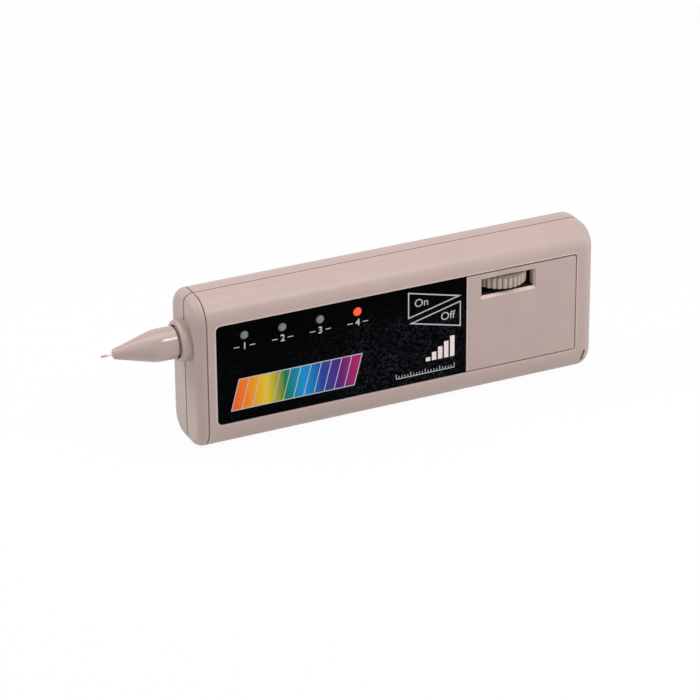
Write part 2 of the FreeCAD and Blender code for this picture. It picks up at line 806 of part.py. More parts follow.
def thumbwheel():
    """The ribbed wheel, with a well below for its screw."""
    body = new_body("thumbwheel")
    place_in_case(body, wheel_u, wheel_v, wheel_bottom)
    turned(body, [(spindle_radius, screw_well_depth), (screw_well_radius, screw_well_depth),
                  (screw_well_radius, 0), (wheel_radius - wheel_chamfer, 0),
                  (wheel_radius, wheel_chamfer), (wheel_radius, wheel_thickness - wheel_chamfer),
                  (wheel_radius - wheel_chamfer, wheel_thickness), (spindle_radius, wheel_thickness)],
           "V_Axis")
    rim = wheel_radius + rib_depth
    groove = pocket(body, polygon(drawing(body, "XY_Plane"), [
        (wheel_radius - rib_depth, 0), (rim, -rib_groove_width), (rim, rib_groove_width)]),
        wheel_thickness, reverse=True)
    ribs = body.newObject("PartDesign::PolarPattern", "Ribs")
    ribs.Originals = [groove]
    upright = next(item for item in body.Origin.OriginFeatures if item.Role == "Z_Axis")
    ribs.Axis = (upright, [""])
    ribs.Angle = 360
    bind(ribs, "Occurrences", rib_count)
    body.Tip = ribs
    document.recompute()


def wheel_spindle():
    """The potentiometer's turning shaft, tapped below for the wheel's screw."""
    start = wheel_bottom + screw_well_depth
    length = pot_bottom + pot_height - start
    shaft = rod("z", wheel_u, wheel_v, start, spindle_radius, length)
    tapped = rod("z", wheel_u, wheel_v, start, wheel_screw_shank + thread_fit, wheel_screw_length + seating)
    finished(less(shaft, tapped), "wheel_spindle")


def cross_cut(axis, u, v, z):
    """The cross in a screw head that starts at a point and faces against an axis."""
    arm = case_screw_head
    depth = cross_depth
    if axis == "z":
        return joined([block(u - arm / 2, v - cross_width / 2, z, arm, cross_width, depth),
                       block(u - cross_width / 2, v - arm / 2, z, cross_width, arm, depth)])
    return joined([block(u - arm / 2, v - depth, z - cross_width / 2, arm, depth, cross_width),
                   block(u - cross_width / 2, v - depth, z - arm / 2, cross_width, depth, arm)])


def wheel_screw():
    seat = wheel_bottom + screw_well_depth
    head = rod("z", wheel_u, wheel_v, seat - wheel_screw_head, wheel_screw_radius, wheel_screw_head)
    shank = rod("z", wheel_u, wheel_v, seat, wheel_screw_shank, wheel_screw_length)
    cross = cross_cut("z", wheel_u, wheel_v, seat - wheel_screw_head)
    finished(less(joined([head, shank]), cross), "wheel_screw")


def wheel_potentiometer():
    """The switched potentiometer behind the wheel, soldered to the board's arm by three pins."""
    barrel = rod("z", wheel_u, wheel_v, pot_bottom, pot_radius, pot_height)
    tail = block(wheel_u - pot_tail_reach, wheel_v - pot_tail_width / 2, pot_bottom,
                 pot_tail_reach, pot_tail_width, pot_height)
    bore = rod("z", wheel_u, wheel_v, pot_bottom, spindle_radius + spindle_fit, pot_height)
    housing = less(joined([barrel, tail]), bore)
    pins = []
    for step in (-1, 0, 1):
        z = pot_bottom + (pot_height - pin_width) / 2 + step * pin_pitch
        pins.append(block(arm_right - pin_overlap, board_place - pin_thickness, z,
                          wheel_u - pot_tail_reach - arm_right + 2 * pin_overlap, pin_thickness, pin_width))
    finished(joined([housing, *pins]), "wheel_potentiometer")


def on_probe_axis(label):
    """A body drawn on the probe's axis, with X from the case's probe end."""
    body = new_body(label)
    place_in_case(body, 0, front_depth, nose_z)
    return body


def probe_collar():
    """The turned collar: rim and mouth outside, neck in the wall, flange inside."""
    body = on_probe_axis("probe_collar")
    bore = stem_radius + stem_fit
    back = flange_front + flange_thickness
    turned(body, [(-collar_reach, collar_mouth_radius), (-collar_reach, collar_radius), (0, collar_radius),
                  (0, neck_radius), (flange_front, neck_radius), (flange_front, flange_radius),
                  (back, flange_radius), (back, bore), (collar_mouth_depth - collar_reach, bore),
                  (collar_mouth_depth - collar_reach, collar_mouth_radius)])
    fillet(body, lambda edge: lies_at(edge, x=-collar_reach)
           and near(edge.Curve.Radius, collar_radius.value), collar_rounding)


def nose_cone():
    """The insulating nose: a cone with a straight skirt, hollow behind."""
    body = on_probe_axis("nose_cone")
    hole = needle_radius + needle_fit
    turned(body, [(-nose_front, hole), (-nose_front, nose_tip_radius), (-nose_shoulder, nose_radius),
                  (-nose_back, nose_radius), (-nose_back, spigot_radius), (-nose_bore_end, spigot_radius),
                  (-nose_bore_end, sleeve_radius), (-sleeve_front, sleeve_radius), (-sleeve_front, hole)])
    fillet(body, lambda edge: lies_at(edge, x=-nose_front)
           and near(edge.Curve.Radius, nose_tip_radius.value), nose_rounding)
    fillet(body, lambda edge: lies_at(edge, x=-nose_shoulder), nose_blend)
    chamfer(body, lambda edge: lies_at(edge, x=-nose_back)
            and near(edge.Curve.Radius, nose_radius.value), nose_back_chamfer)


def probe_stem():
    """The tube that carries the nose and slides in the collar and the spring seat."""
    body = on_probe_axis("probe_stem")
    turned(body, [(-spigot_end, stem_bore), (-spigot_end, spigot_radius), (-nose_back, spigot_radius),
                  (-nose_back, stem_radius), (clip_front, stem_radius), (clip_front, clip_groove_radius),
                  (clip_back, clip_groove_radius), (clip_back, stem_radius), (stem_end, stem_radius),
                  (stem_end, stem_bore)])


def probe_needle():
    body = on_probe_axis("probe_needle")
    turned(body, [(-needle_front, 0), (-needle_front, needle_radius), (-needle_back, needle_radius),
                  (-needle_back, 0)])
    fillet(body, lambda edge: lies_at(edge, x=-needle_front), needle_rounding)


def needle_sleeve():
    """The ceramic sleeve that insulates the needle."""
    body = on_probe_axis("needle_sleeve")
    turned(body, [(-sleeve_front, needle_radius), (-sleeve_front, sleeve_radius),
                  (-needle_back, sleeve_radius), (-needle_back, needle_radius)])


def probe_heater():
    """The heating resistor behind the needle, and the thermistor bead behind it."""
    finished(rod("x", -needle_back, front_depth, nose_z, heater_radius, heater_length), "probe_heater")
    bead = document.addObject("Part::Sphere", "Bead")
    bind(bead, "Radius", bead_radius)
    place_in_case(bead, bead_back - bead_radius, front_depth, nose_z)
    finished(bead, "thermistor_bead")


def retaining_clip():
    """The open clip in the stem's groove that stops the probe against the collar."""
    disc = less(rod("x", clip_front, front_depth, nose_z, clip_radius, clip_thickness),
                rod("x", clip_front, front_depth, nose_z, clip_groove_radius, clip_thickness))
    opening = block(clip_front, front_depth - clip_opening / 2, nose_z - clip_radius,
                    clip_thickness, clip_opening, clip_radius)
    finished(less(disc, opening), "retaining_clip")


def spring_seat():
    ring = less(rod("x", seat_front, front_depth, nose_z, seat_radius, seat_thickness),
                rod("x", seat_front, front_depth, nose_z, stem_radius + stem_fit, seat_thickness))
    finished(ring, "spring_seat")


def probe_spring():
    """The coil spring between the clip and its seat."""
    spring = document.addObject("Part::Feature", "probe_spring")
    start = clip_back + spring_wire + seating
    height = seat_front - seating - spring_wire - start
    turns = spring_turns.value
    helix = Part.makeHelix(height.value / turns, height.value, spring_radius.value)
    ring = Part.Wire(Part.makeCircle(spring_wire.value, Vector(spring_radius.value, 0, 0), Vector(0, 1, 0)))
    spring.Shape = Part.Wire(helix).makePipeShell([ring], True, True)
    spring.Placement = Placement(Vector(), turn_to["x"])
    place_in_case(spring, start, front_depth, nose_z)
    finished(spring, "probe_spring")


def lead(label, points, radius):
    """A wire through points: straight runs joined by tangent arcs as large as the runs allow."""
    share = 0.45
    places = [Vector(*(as_size(number).value for number in point)) for point in points]
    edges = []
    start = places[0]
    for before, corner, after in zip(places, places[1:], places[2:]):
        back, forth = before - corner, after - corner
        reach = share * min(back.Length, forth.Length)
        back.normalize()
        forth.normalize()
        into, out = corner + back * reach, corner + forth * reach
        inward = back + forth
        inward.normalize()
        half = back.getAngle(inward)
        bend = reach * math.tan(half)
        centre = corner + inward * (bend / math.sin(half))
        edges.append(Part.LineSegment(start, into).toShape())
        edges.append(Part.Arc(into, centre - inward * bend, out).toShape())
        start = out
    edges.append(Part.LineSegment(start, places[-1]).toShape())
    path = Part.Wire(edges)
    ring = Part.Wire(Part.makeCircle(radius.value, places[0], places[1] - places[0]))
    wire = document.addObject("Part::Feature", label)
    wire.Shape = path.makePipeShell([ring], True, False)
    place_in_case(wire)
    finished(wire, label)


def battery():
    """The nine-volt block battery with its two terminals, and the snap on them."""
    body = case_body("battery")
    pad(body, rectangle(across(body, battery_left), battery_front, battery_back, battery_bottom, battery_top),
        battery_length)
    fillet(body, lambda edge: runs_along(edge, "x"), battery_corner)
    v = case_depth / 2
    round_one = rod("x", snap_right, v, battery_z - terminal_pitch / 2, small_terminal, terminal_height)
    six_sided = document.addObject("Part::Prism", "Prism")
    six_sided.Polygon = 6
    bind(six_sided, "Circumradius", large_terminal)
    bind(six_sided, "Height", terminal_height)
    six_sided.Placement = Placement(Vector(), turn_to["x"])
    place_in_case(six_sided, snap_right, v, battery_z + terminal_pitch / 2)
    grouped("battery_terminals", [round_one, six_sided])
    snap = case_body("battery_snap")
    pad(snap, rectangle(across(snap, snap_left), v - snap_depth / 2, v + snap_depth / 2,
                        battery_z - snap_width / 2, battery_z + snap_width / 2), snap_thickness)
    fillet(snap, lambda edge: runs_along(edge, "x"), snap_corner)


def battery_leads():
    """The snap's red and black leads, bent round to the back of the board."""
    v = case_depth / 2 + snap_depth / 4
    for label, offset in (("battery_lead_red", 1), ("battery_lead_black", -1)):
        z = battery_z + offset * terminal_pitch / 2
        reach = board_right - board_hole_inset
        lead(label, [(snap_left, v, z), (reach - lead_radius * 4, v, z),
                     (reach - lead_radius * 4, board_back, z)], lead_radius)


def probe_leads():
    """Two thin leads from inside the stem to the plug on the board."""
    for label, side in (("probe_lead_red", 1), ("probe_lead_white", -1)):
        z = nose_z + side * probe_lead_radius * 2
        v = front_depth + stem_bore / 2 + probe_lead_radius
        turn_u = board_left + plug_length / 2 + side * probe_lead_radius * 3
        plug_v = board_back + plug_depth / 2
        lead(label, [(bead_back + probe_travel + seating, v, z), (turn_u, v, z),
                     (turn_u, plug_v, probe_plug_top)], probe_lead_radius)

def circuit_board():
    """The board behind the label, with an arm that reaches over the battery to the wheel."""
    body = case_body("main_circuit_board")
    pad(body, polygon(facing(body, board_place), [
        (board_left, board_margin), (board_right, board_margin), (board_right, arm_bottom),
        (arm_right, arm_bottom), (arm_right, board_top), (board_left, board_top)]), board_thickness,
        reverse=True)
    holes = circles(facing(body, board_place), board_holes, board_screw_radius + hole_fit)
    for number in times(lamp_count):
        for side in (-1, 1):
            circle(holes, first_lamp + number * lamp_pitch, lamp_z + side * lamp_leg_pitch / 2,
                   lamp_leg_radius + spindle_fit)
    pocket(body, holes, board_thickness)


def chip(label, u, z, pins):
    """A chip in a case with a row of pins along each long side."""
    length = pins * chip_pin_spacing + chip_pin_width
    low = z - chip_width / 2
    bottom = board_back + chip_stand
    parts = [block(u, bottom, low, length, chip_thickness, chip_width)]
    for number in times(pins):
        along = u + chip_pin_spacing * (number + 0.5)
        for side_z in (low - chip_pin_width, low + chip_width):
            parts.append(block(along, board_back, side_z, chip_pin_width,
                               chip_stand + chip_thickness / 2, chip_pin_width))
    finished(joined(parts), label)


def board_parts():
    """What is soldered to the back of the board, in rows that start beside the probe's plug."""
    row_start = board_left + plug_clearance + plug_length + part_gap
    resistor_top = lamp_z - lamp_leg_pitch / 2 - lamp_leg_radius - resistor_gap
    resistors = []
    for number in times(resistor_count):
        u = row_start + resistor_radius + number * resistor_spacing
        z = resistor_top - resistor_span
        v = board_back + resistor_radius
        body = rod("z", u, v, z + (resistor_span - resistor_length) / 2, resistor_radius, resistor_length)
        wires = rod("z", u, v, z, resistor_wire, resistor_span)
        feet = [rod("y", u, board_back, z + end, resistor_foot, resistor_radius)
                for end in (resistor_wire * 2, resistor_span - resistor_wire * 2)]
        resistors.append(joined([body, wires, *feet]))
    grouped("resistors", resistors)

    chip_z = resistor_top - resistor_span - chip_gap - chip_pin_width - chip_width / 2
    chip("measuring_chip", row_start, chip_z, large_chip_pins)
    second_start = row_start + large_chip_pins * chip_pin_spacing + chip_pin_width + part_gap
    chip("comparator_chip", second_start, chip_z, small_chip_pins)

    low_row = board_margin + part_gap
    trimmers = []
    for step in (0, 1):
        u = row_start + step * (trimmer_side + part_gap)
        cube = block(u, board_back, low_row, trimmer_side, trimmer_height, trimmer_side)
        slot = block(u + trimmer_slot, board_back + trimmer_height - trimmer_slot,
                     low_row + (trimmer_side - trimmer_slot) / 2, trimmer_side - 2 * trimmer_slot,
                     trimmer_slot, trimmer_slot)
        trimmers.append(less(cube, slot))
    grouped("calibration_trimmers", trimmers)
    capacitor_start = row_start + 2 * (trimmer_side + part_gap) + capacitor_radius
    capacitors = [rod("y", capacitor_start + step * (2 * capacitor_radius + part_gap), board_back,
                      low_row + capacitor_radius, capacitor_radius, capacitor_height) for step in (0, 1)]
    grouped("smoothing_capacitors", capacitors)

    regulator_u = board_right - 2 * board_hole_inset
    regulator_z = board_top - 2 * board_hole_inset
    regulator = rod("y", regulator_u, board_back, regulator_z, regulator_radius, regulator_height)
    flat = block(regulator_u + regulator_flat, board_back, regulator_z - regulator_radius,
                 regulator_radius, regulator_height, 2 * regulator_radius)
    finished(less(regulator, flat), "voltage_regulator")

    sounder_u = board_right + part_gap + sounder_radius
    sounder_z = (arm_bottom + board_top) / 2
    can = rod("y", sounder_u, board_back, sounder_z, sounder_radius, sounder_height)
    hole = rod("y", sounder_u, board_back + sounder_wall, sounder_z, sounder_hole, sounder_height)
    finished(less(can, hole), "sounder")

    plug = block(board_left + plug_clearance, board_back, probe_plug_top - plug_height,
                 plug_length, plug_depth, plug_height)
    finished(plug, "probe_plug")


def case_screws():
    """Four screws from the back, each with its head in a well of the rear shell."""
    screws = []
    seat = case_depth - screw_head_sink
    for u, z in boss_places:
        head = rod("y", u, seat, z, case_screw_head, case_screw_head_height)
        shank = rod("y", u, seat - case_screw_length, z, case_screw_radius, case_screw_length)
        cross = cross_cut("y", u, seat + case_screw_head_height, z)
        screws.append(less(joined([head, shank]), cross))
    grouped("case_screws", screws)


def board_screws():
    screws = []
    for u, z in board_holes:
        head = rod("y", u, board_back, z, board_screw_head, board_screw_head_height)
        shank = rod("y", u, board_back - board_screw_length, z, board_screw_radius, board_screw_length)
        cross = cross_cut("y", u, board_back + board_screw_head_height, z)
        screws.append(less(joined([head, shank]), cross))
    grouped("board_screws", screws)


def battery_door():
    """The door in the back: a plate with two tongues, a latch and finger grooves."""
    body = case_body("battery_door")
    low, high = opening_bottom + door_gap, opening_top - door_gap
    pad(body, rectangle(facing(body, door_front), door_left, door_right, low, high), door_thickness,
        reverse=True)
    tongue_back = case_depth - wall - door_gap
    tongue_front = tongue_back - tongue_thickness
    for left, depth in ((door_left, door_front - tongue_front), (door_left - tongue_reach, tongue_thickness)):
        tongues = facing(body, tongue_front)
        for side in (-1, 1):
            z = battery_z + side * tongue_spacing / 2
            rectangle(tongues, left, door_left + tongue_root, z - tongue_width / 2, z + tongue_width / 2)
        pad(body, tongues, depth, reverse=True)
    latch_right = door_right - latch_setback
    pad(body, rectangle(facing(body, door_front - latch_reach), latch_right - latch_thickness, latch_right,
                        battery_z - latch_width / 2, battery_z + latch_width / 2), latch_reach, reverse=True)
    grooves = facing(body, case_depth)
    for number in times(grip_count):
        right = door_right - grip_inset - number * grip_pitch
        rectangle(grooves, right - grip_width, right, battery_z - grip_length / 2,
                  battery_z + grip_length / 2)
    pocket(body, grooves, grip_depth, reverse=True)


def battery_pad():
    """The foam pad on the door that keeps the battery quiet."""
    finished(block((battery_left + battery_right - pad_length) / 2, door_front - pad_thickness,
                   battery_z - pad_width / 2, pad_length, pad_thickness, pad_width), "battery_pad")


front_shell()
rear_shell()
front_label()
control_cover()
status_lamps()
lamp_spacers()
thumbwheel()
wheel_spindle()
wheel_screw()
wheel_potentiometer()
probe_collar()
nose_cone()
probe_stem()
probe_needle()
needle_sleeve()
probe_heater()
retaining_clip()
spring_seat()
probe_spring()
probe_leads()
battery()
battery_leads()
circuit_board()
board_parts()
case_screws()
board_screws()
battery_door()
battery_pad()
document.recompute()

for thing in document.Objects:
    if {"Invalid", "Error"} & set(thing.State):
        raise RuntimeError(f"{thing.Label} failed: {thing.State}")
for piece in pieces:
    if piece.Shape.isNull() or not piece.Shape.isValid():
        raise RuntimeError(f"{piece.Label} has no valid shape")
os.makedirs("parts", exist_ok=True)
for piece in pieces:
    piece.Shape.exportStep(os.path.join("parts", f"{piece.Label}.step"))
print(len(pieces), "pieces written")
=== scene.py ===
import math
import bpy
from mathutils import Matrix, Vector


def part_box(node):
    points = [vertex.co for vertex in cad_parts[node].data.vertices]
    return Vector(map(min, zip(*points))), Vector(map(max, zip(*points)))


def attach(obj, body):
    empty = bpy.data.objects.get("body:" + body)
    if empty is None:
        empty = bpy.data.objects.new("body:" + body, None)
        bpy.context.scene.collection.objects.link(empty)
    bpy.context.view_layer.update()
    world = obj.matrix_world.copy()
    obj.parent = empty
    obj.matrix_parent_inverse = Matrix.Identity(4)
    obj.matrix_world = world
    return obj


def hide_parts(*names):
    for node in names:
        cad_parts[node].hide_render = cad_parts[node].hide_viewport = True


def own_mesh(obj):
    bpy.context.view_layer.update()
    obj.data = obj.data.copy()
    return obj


bl_info = {
    "name": "Diamond tester",
    "version": (1, 0, 0),
    "blender": (4, 5, 0),
    "location": "View3D > Sidebar > Tester",
    "description": "Finishes of a hand-held gemstone tester, with its print, lamps, wheel and stage",
    "category": "Object",
}

import bmesh
import bpy
from bpy.props import FloatProperty, FloatVectorProperty, IntProperty, PointerProperty
from bpy.types import Operator, Panel, PropertyGroup
from mathutils import Matrix, Vector

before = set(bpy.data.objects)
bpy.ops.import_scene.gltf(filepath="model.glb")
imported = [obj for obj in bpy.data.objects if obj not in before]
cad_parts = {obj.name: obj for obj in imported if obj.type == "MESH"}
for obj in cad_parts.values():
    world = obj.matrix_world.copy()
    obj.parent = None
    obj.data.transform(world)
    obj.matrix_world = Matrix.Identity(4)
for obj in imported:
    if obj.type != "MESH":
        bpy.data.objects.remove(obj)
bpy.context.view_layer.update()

MM = 0.001
FULL_TURN = 2 * math.pi
TO_FACE = Matrix.Rotation(math.pi / 2, 4, "X")


# Node trees written as expressions

def summed(operation, reflected=False):
    """The method for one of Python's operators, or for the same with its sides exchanged."""
    def method(term, other=0.0):
        sides = (other, term) if reflected else (term, other)
        return term.nodes.math(operation, *sides)

    return method


class Term:
    """An output socket that takes part in Python sums: each sum adds its Math node."""

    def __init__(self, nodes, socket):
        self.nodes = nodes
        self.socket = socket

    __add__, __radd__ = summed("ADD"), summed("ADD", True)
    __sub__, __rsub__ = summed("SUBTRACT"), summed("SUBTRACT", True)
    __mul__, __rmul__ = summed("MULTIPLY"), summed("MULTIPLY", True)
    __truediv__, __rtruediv__ = summed("DIVIDE"), summed("DIVIDE", True)
    __pow__, __rpow__ = summed("POWER"), summed("POWER", True)
    __lt__, __gt__ = summed("LESS_THAN"), summed("GREATER_THAN")
    __abs__ = summed("ABSOLUTE")


class Nodes:
    """A node tree of either kind."""

    def __init__(self, tree):
        self.tree = tree
        tree.nodes.clear()

    def add(self, kind, sockets=None, settings=None, output=0):
        """Makes a node with the values or links of its sockets, and its settings set before them."""
        node = self.tree.nodes.new(kind)
        for name, value in (settings or {}).items():
            if name == "stops":
                self.set_stops(node.color_ramp, value)
            else:
                setattr(node, name, value)
        for key, value in (sockets or {}).items():
            if isinstance(value, Term):
                self.tree.links.new(value.socket, node.inputs[key])
            else:
                node.inputs[key].default_value = value
        return Term(self, node.outputs[output]) if node.outputs else node

    def set_stops(self, ramp, stops):
        for element, (place, color) in zip(ramp.elements, stops):
            element.position = place
            element.color = (*color, 1)
        for place, color in stops[len(ramp.elements):]:
            ramp.elements.new(place).color = (*color, 1)

    def math(self, operation, first, second=0.0):
        return self.add("ShaderNodeMath", {0: first, 1: second}, {"operation": operation})

    def vector(self, operation, first, second):
        return self.add("ShaderNodeVectorMath", {0: first, 1: second}, {"operation": operation})

    def most(self, first, *others):
        """The greatest of several amounts."""
        for other in others:
            first = self.math("MAXIMUM", first, other)
        return first

    def axes(self, point):
        split = self.add("ShaderNodeSeparateXYZ", {0: point}).socket.node
        return [Term(self, socket) for socket in split.outputs]

    def ramp(self, amount, low, high):
        """0 below low and 1 above high, smooth between."""
        return self.add("ShaderNodeMapRange", {0: amount, 1: low, 2: high},
                        {"interpolation_type": "SMOOTHSTEP"})


class Finish(Nodes):
    """A material. Its place is the object's own coordinates in millimetres."""

    def __init__(self, name):
        self.material = bpy.data.materials.new(name)
        self.material.use_nodes = True
        super().__init__(self.material.node_tree)
        coordinates = self.add("ShaderNodeTexCoord", output="Object")
        self.place = self.add("ShaderNodeVectorMath", {0: coordinates, 3: 1 / MM},
                              {"operation": "SCALE"})

    def noise(self, size, detail, place=None):
        """Noise from 0 to 1, with blotches of about a size in millimetres."""
        sockets = {"Vector": place or self.place, "Scale": 1 / size, "Detail": detail}
        return self.add("ShaderNodeTexNoise", sockets, output="Fac")

    def mottle(self, size, place=None):
        """Soft blotches from 0 to 1."""
        return self.ramp(self.noise(size, 3, place), 0.3, 0.7)

    def stretched(self, x=1.0, y=1.0, z=1.0):
        """The place with each axis squeezed by a factor, for streaks."""
        return self.vector("MULTIPLY", self.place, (x, y, z))

    def mixed(self, amount, first, second):
        sockets = {0: amount, 6: rgba(first), 7: rgba(second)}
        return self.add("ShaderNodeMix", sockets, {"data_type": "RGBA"}, 2)

    def bump(self, height, distance, strength):
        """A normal from a height of 0 to 1 over a distance in millimetres."""
        sockets = {"Height": height, "Distance": distance * MM, "Strength": strength}
        return self.add("ShaderNodeBump", sockets)

    def surface(self, **sockets):
        """Closes the tree with a Principled shader and returns the material."""
        named = {key.replace("_", " "): rgba(value) if "Color" in key else value
                 for key, value in sockets.items()}
        shader = self.add("ShaderNodeBsdfPrincipled", named)
        self.add("ShaderNodeOutputMaterial", {"Surface": shader})
        return self.material


class Growth(Nodes):
    """A geometry tree with named sizes, which grows on a mesh and ends as a plain one."""

    kinds = {float: "NodeSocketFloat", int: "NodeSocketInt", Vector: "NodeSocketVector",
             bpy.types.Object: "NodeSocketObject"}

    def __init__(self, name, **sizes):
        self.group = bpy.data.node_groups.new(name, "GeometryNodeTree")
        super().__init__(self.group)
        self.sizes = {"Geometry": None, **sizes}
        interface = self.group.interface
        self.identifiers = {}
        for title, value in self.sizes.items():
            kind = "NodeSocketGeometry" if value is None else self.kinds[type(value)]
            made = interface.new_socket(title, in_out="INPUT", socket_type=kind)
            self.identifiers[title] = made.identifier
        interface.new_socket("Geometry", in_out="OUTPUT", socket_type="NodeSocketGeometry")
        self.entry = self.add("NodeGroupInput").socket.node

    def size(self, title):
        return Term(self, self.entry.outputs[title])

    def ends(self, geometry, material):
        realized = self.add("GeometryNodeRealizeInstances", {0: geometry})
        painted = self.add("GeometryNodeSetMaterial", {"Geometry": realized, "Material": material})
        self.add("NodeGroupOutput", {0: painted})

    def grown(self, piece):
        """Runs the tree on a piece and leaves the result as its plain mesh."""
        modifier = piece.modifiers.new(self.group.name, "NODES")
        modifier.node_group = self.group
        for title, value in self.sizes.items():
            if value is not None:
                modifier[self.identifiers[title]] = value
        result = bpy.data.meshes.new_from_object(piece.evaluated_get(depsgraph()))
        piece.modifiers.remove(modifier)
        piece.data = result


def rgba(value):
    """A colour of three numbers gets its alpha. A socket passes as it is."""
    return value if isinstance(value, Term) else (*value, 1)


def times(color, factor):
    """A colour made darker or paler."""
    return [min(channel * factor, 1) for channel in color]


def depsgraph():
    bpy.context.view_layer.update()
    return bpy.context.evaluated_depsgraph_get()


def placed(name, data):
    """A new object in the scene."""
    made = bpy.data.objects.new(name, data)
    bpy.context.scene.collection.objects.link(made)
    return made


# Meshes

def new_piece(name, mesh, body, replaced=(), material=None):
    """Puts a mesh in the scene as a piece that rides on a body."""
    piece = placed(name, mesh)
    if material:
        mesh.materials.append(material)
    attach(piece, body)
    if replaced:
        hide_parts(*replaced)
    return piece


def mesh_from(name, build):
    """A mesh from a function that fills a bmesh."""
    work = bmesh.new()
    build(work)
    bmesh.ops.recalc_face_normals(work, faces=work.faces)
    mesh = bpy.data.meshes.new(name)
    work.to_mesh(mesh)
    work.free()
    return mesh


def smooth(mesh):
    """Smooth shading, with the sharp edges kept."""
    mesh.shade_smooth()
    mesh.set_sharp_from_angle(angle=math.radians(32))
    return mesh


def thicken(work, faces, thickness):
    """Gives faces of the X-Z plane a thickness to the front."""
    grown = bmesh.ops.extrude_face_region(work, geom=faces)
    moved = [item for item in grown["geom"] if isinstance(item, bmesh.types.BMVert)]
    bmesh.ops.translate(work, verts=moved, vec=(0, -thickness, 0))


def lathe(work, profile, segments, place):
    """Turns a profile of (radius, along) about Z, then moves it. A radius of zero closes a pole."""
    rings = []
    for radius, along in profile:
        if radius == 0:
            rings.append([work.verts.new(place @ Vector((0, 0, along)))])
            continue
        turn = FULL_TURN / segments
        points = [(radius * math.cos(turn * step), radius * math.sin(turn * step), along)
                  for step in range(segments)]
        rings.append([work.verts.new(place @ Vector(point)) for point in points])
    for low, high in zip(rings, rings[1:]):
        for step in range(segments):
            corners = [low[step % len(low)], low[(step + 1) % len(low)],
                       high[(step + 1) % len(high)], high[step % len(high)]]
            work.faces.new(list(dict.fromkeys(corners)))


def arc(centre, radius, start, end, steps):
    """Points (across, along) on an arc between two angles in degrees, measured from the across axis."""
    angles = [math.radians(start + (end - start) * step / steps) for step in range(steps + 1)]
    return [(centre[0] + radius * math.cos(angle), centre[1] + radius * math.sin(angle))
            for angle in angles]


def dress(names, material):
    """Gives CAD nodes their finish."""
    for name in names:
        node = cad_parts[name]
        node.data.materials.clear()
        node.data.materials.append(material)


# Settings that a user would change

class CaseLook(PropertyGroup):
    """The moulded case."""
    color: FloatVectorProperty(name="Plastic", description="Colour of the moulded case", subtype="COLOR",
                               default=(0.450, 0.350, 0.318), min=0, max=1)
    # Painted shade: the colour painted down in the seam, the ring groove, the pry slot and the gaps round
    # the panel, and, darker, on the ledge inside the wheel's slot.
    painted_shade_color: FloatVectorProperty(name="Grooves", description="Colour down in the seam and ring groove",
                                      subtype="COLOR", default=(0.13, 0.080, 0.062), min=0, max=1)
    roughness: FloatProperty(name="Roughness", description="Roughness of the moulded case",
                             default=0.36, min=0, max=1)
    grain: FloatProperty(name="Grain", description="Size of the mould's fine texture in millimetres",
                         default=0.22, min=0.05)


class LabelLook(PropertyGroup):
    """The printed label."""
    film: FloatVectorProperty(name="Film", description="Colour of the label", subtype="COLOR",
                              default=(0.0006, 0.0006, 0.0008), min=0, max=1)
    ink: FloatVectorProperty(name="Ink", description="Colour of the light print", subtype="COLOR",
                             default=(0.50, 0.50, 0.50), min=0, max=1)
    bar_ink: FloatVectorProperty(name="Bar ink", description="Colour of the level bars", subtype="COLOR",
                                 default=(0.82, 0.72, 0.70), min=0, max=1)
    ink_thickness: FloatProperty(name="Ink thickness", description="How far the print stands on the film",
                                 default=0.02 * MM, unit="LENGTH", precision=5)
    line: FloatProperty(name="Line", description="Width of the printed outlines", default=0.4 * MM,
                        unit="LENGTH", precision=5)
    digit: FloatProperty(name="Digits", description="Height of the lamps' numbers", default=2.3 * MM,
                         unit="LENGTH", precision=5)
    stripes: IntProperty(name="Stripes", description="Coloured stripes in the band", default=12, min=2)
    ticks: IntProperty(name="Ticks", description="Ticks of the small scale", default=21, min=2)


class LampLook(PropertyGroup):
    """The status lamps."""
    unlit: FloatVectorProperty(name="Unlit", description="Colour of an unlit lamp", subtype="COLOR",
                               default=(0.185, 0.200, 0.200), min=0, max=1)
    lit: FloatVectorProperty(name="Lit", description="Colour of the lit lamp", subtype="COLOR",
                             default=(1.0, 0.075, 0.015), min=0, max=1)
    glow: FloatProperty(name="Glow", description="Strength of the lit lamp", default=1.0, min=0)


class WheelLook(PropertyGroup):
    """The thumbwheel."""
    color: FloatVectorProperty(name="Plastic", description="Colour of the wheel", subtype="COLOR",
                               default=(0.44, 0.357, 0.293), min=0, max=1)
    ribs: IntProperty(name="Ribs", description="Ribs round the wheel", default=30, min=6)
    depth: FloatProperty(name="Rib depth", description="Depth between the ribs", default=0.6 * MM,
                         unit="LENGTH", precision=5)


class SpringLook(PropertyGroup):
    """The coil spring that pushes the probe out."""
    turns: IntProperty(name="Turns", description="Turns of the coil", default=4, min=2)
    wire: FloatProperty(name="Wire", description="Radius of the spring's wire", default=0.28 * MM,
                        unit="LENGTH", precision=5)
    travel: FloatProperty(name="Travel", description="How far the probe presses the spring together",
                          default=1.2 * MM, unit="LENGTH", precision=5)
    color: FloatVectorProperty(name="Steel", description="Colour of the spring's wire", subtype="COLOR",
                               default=(0.60, 0.60, 0.61), min=0, max=1)


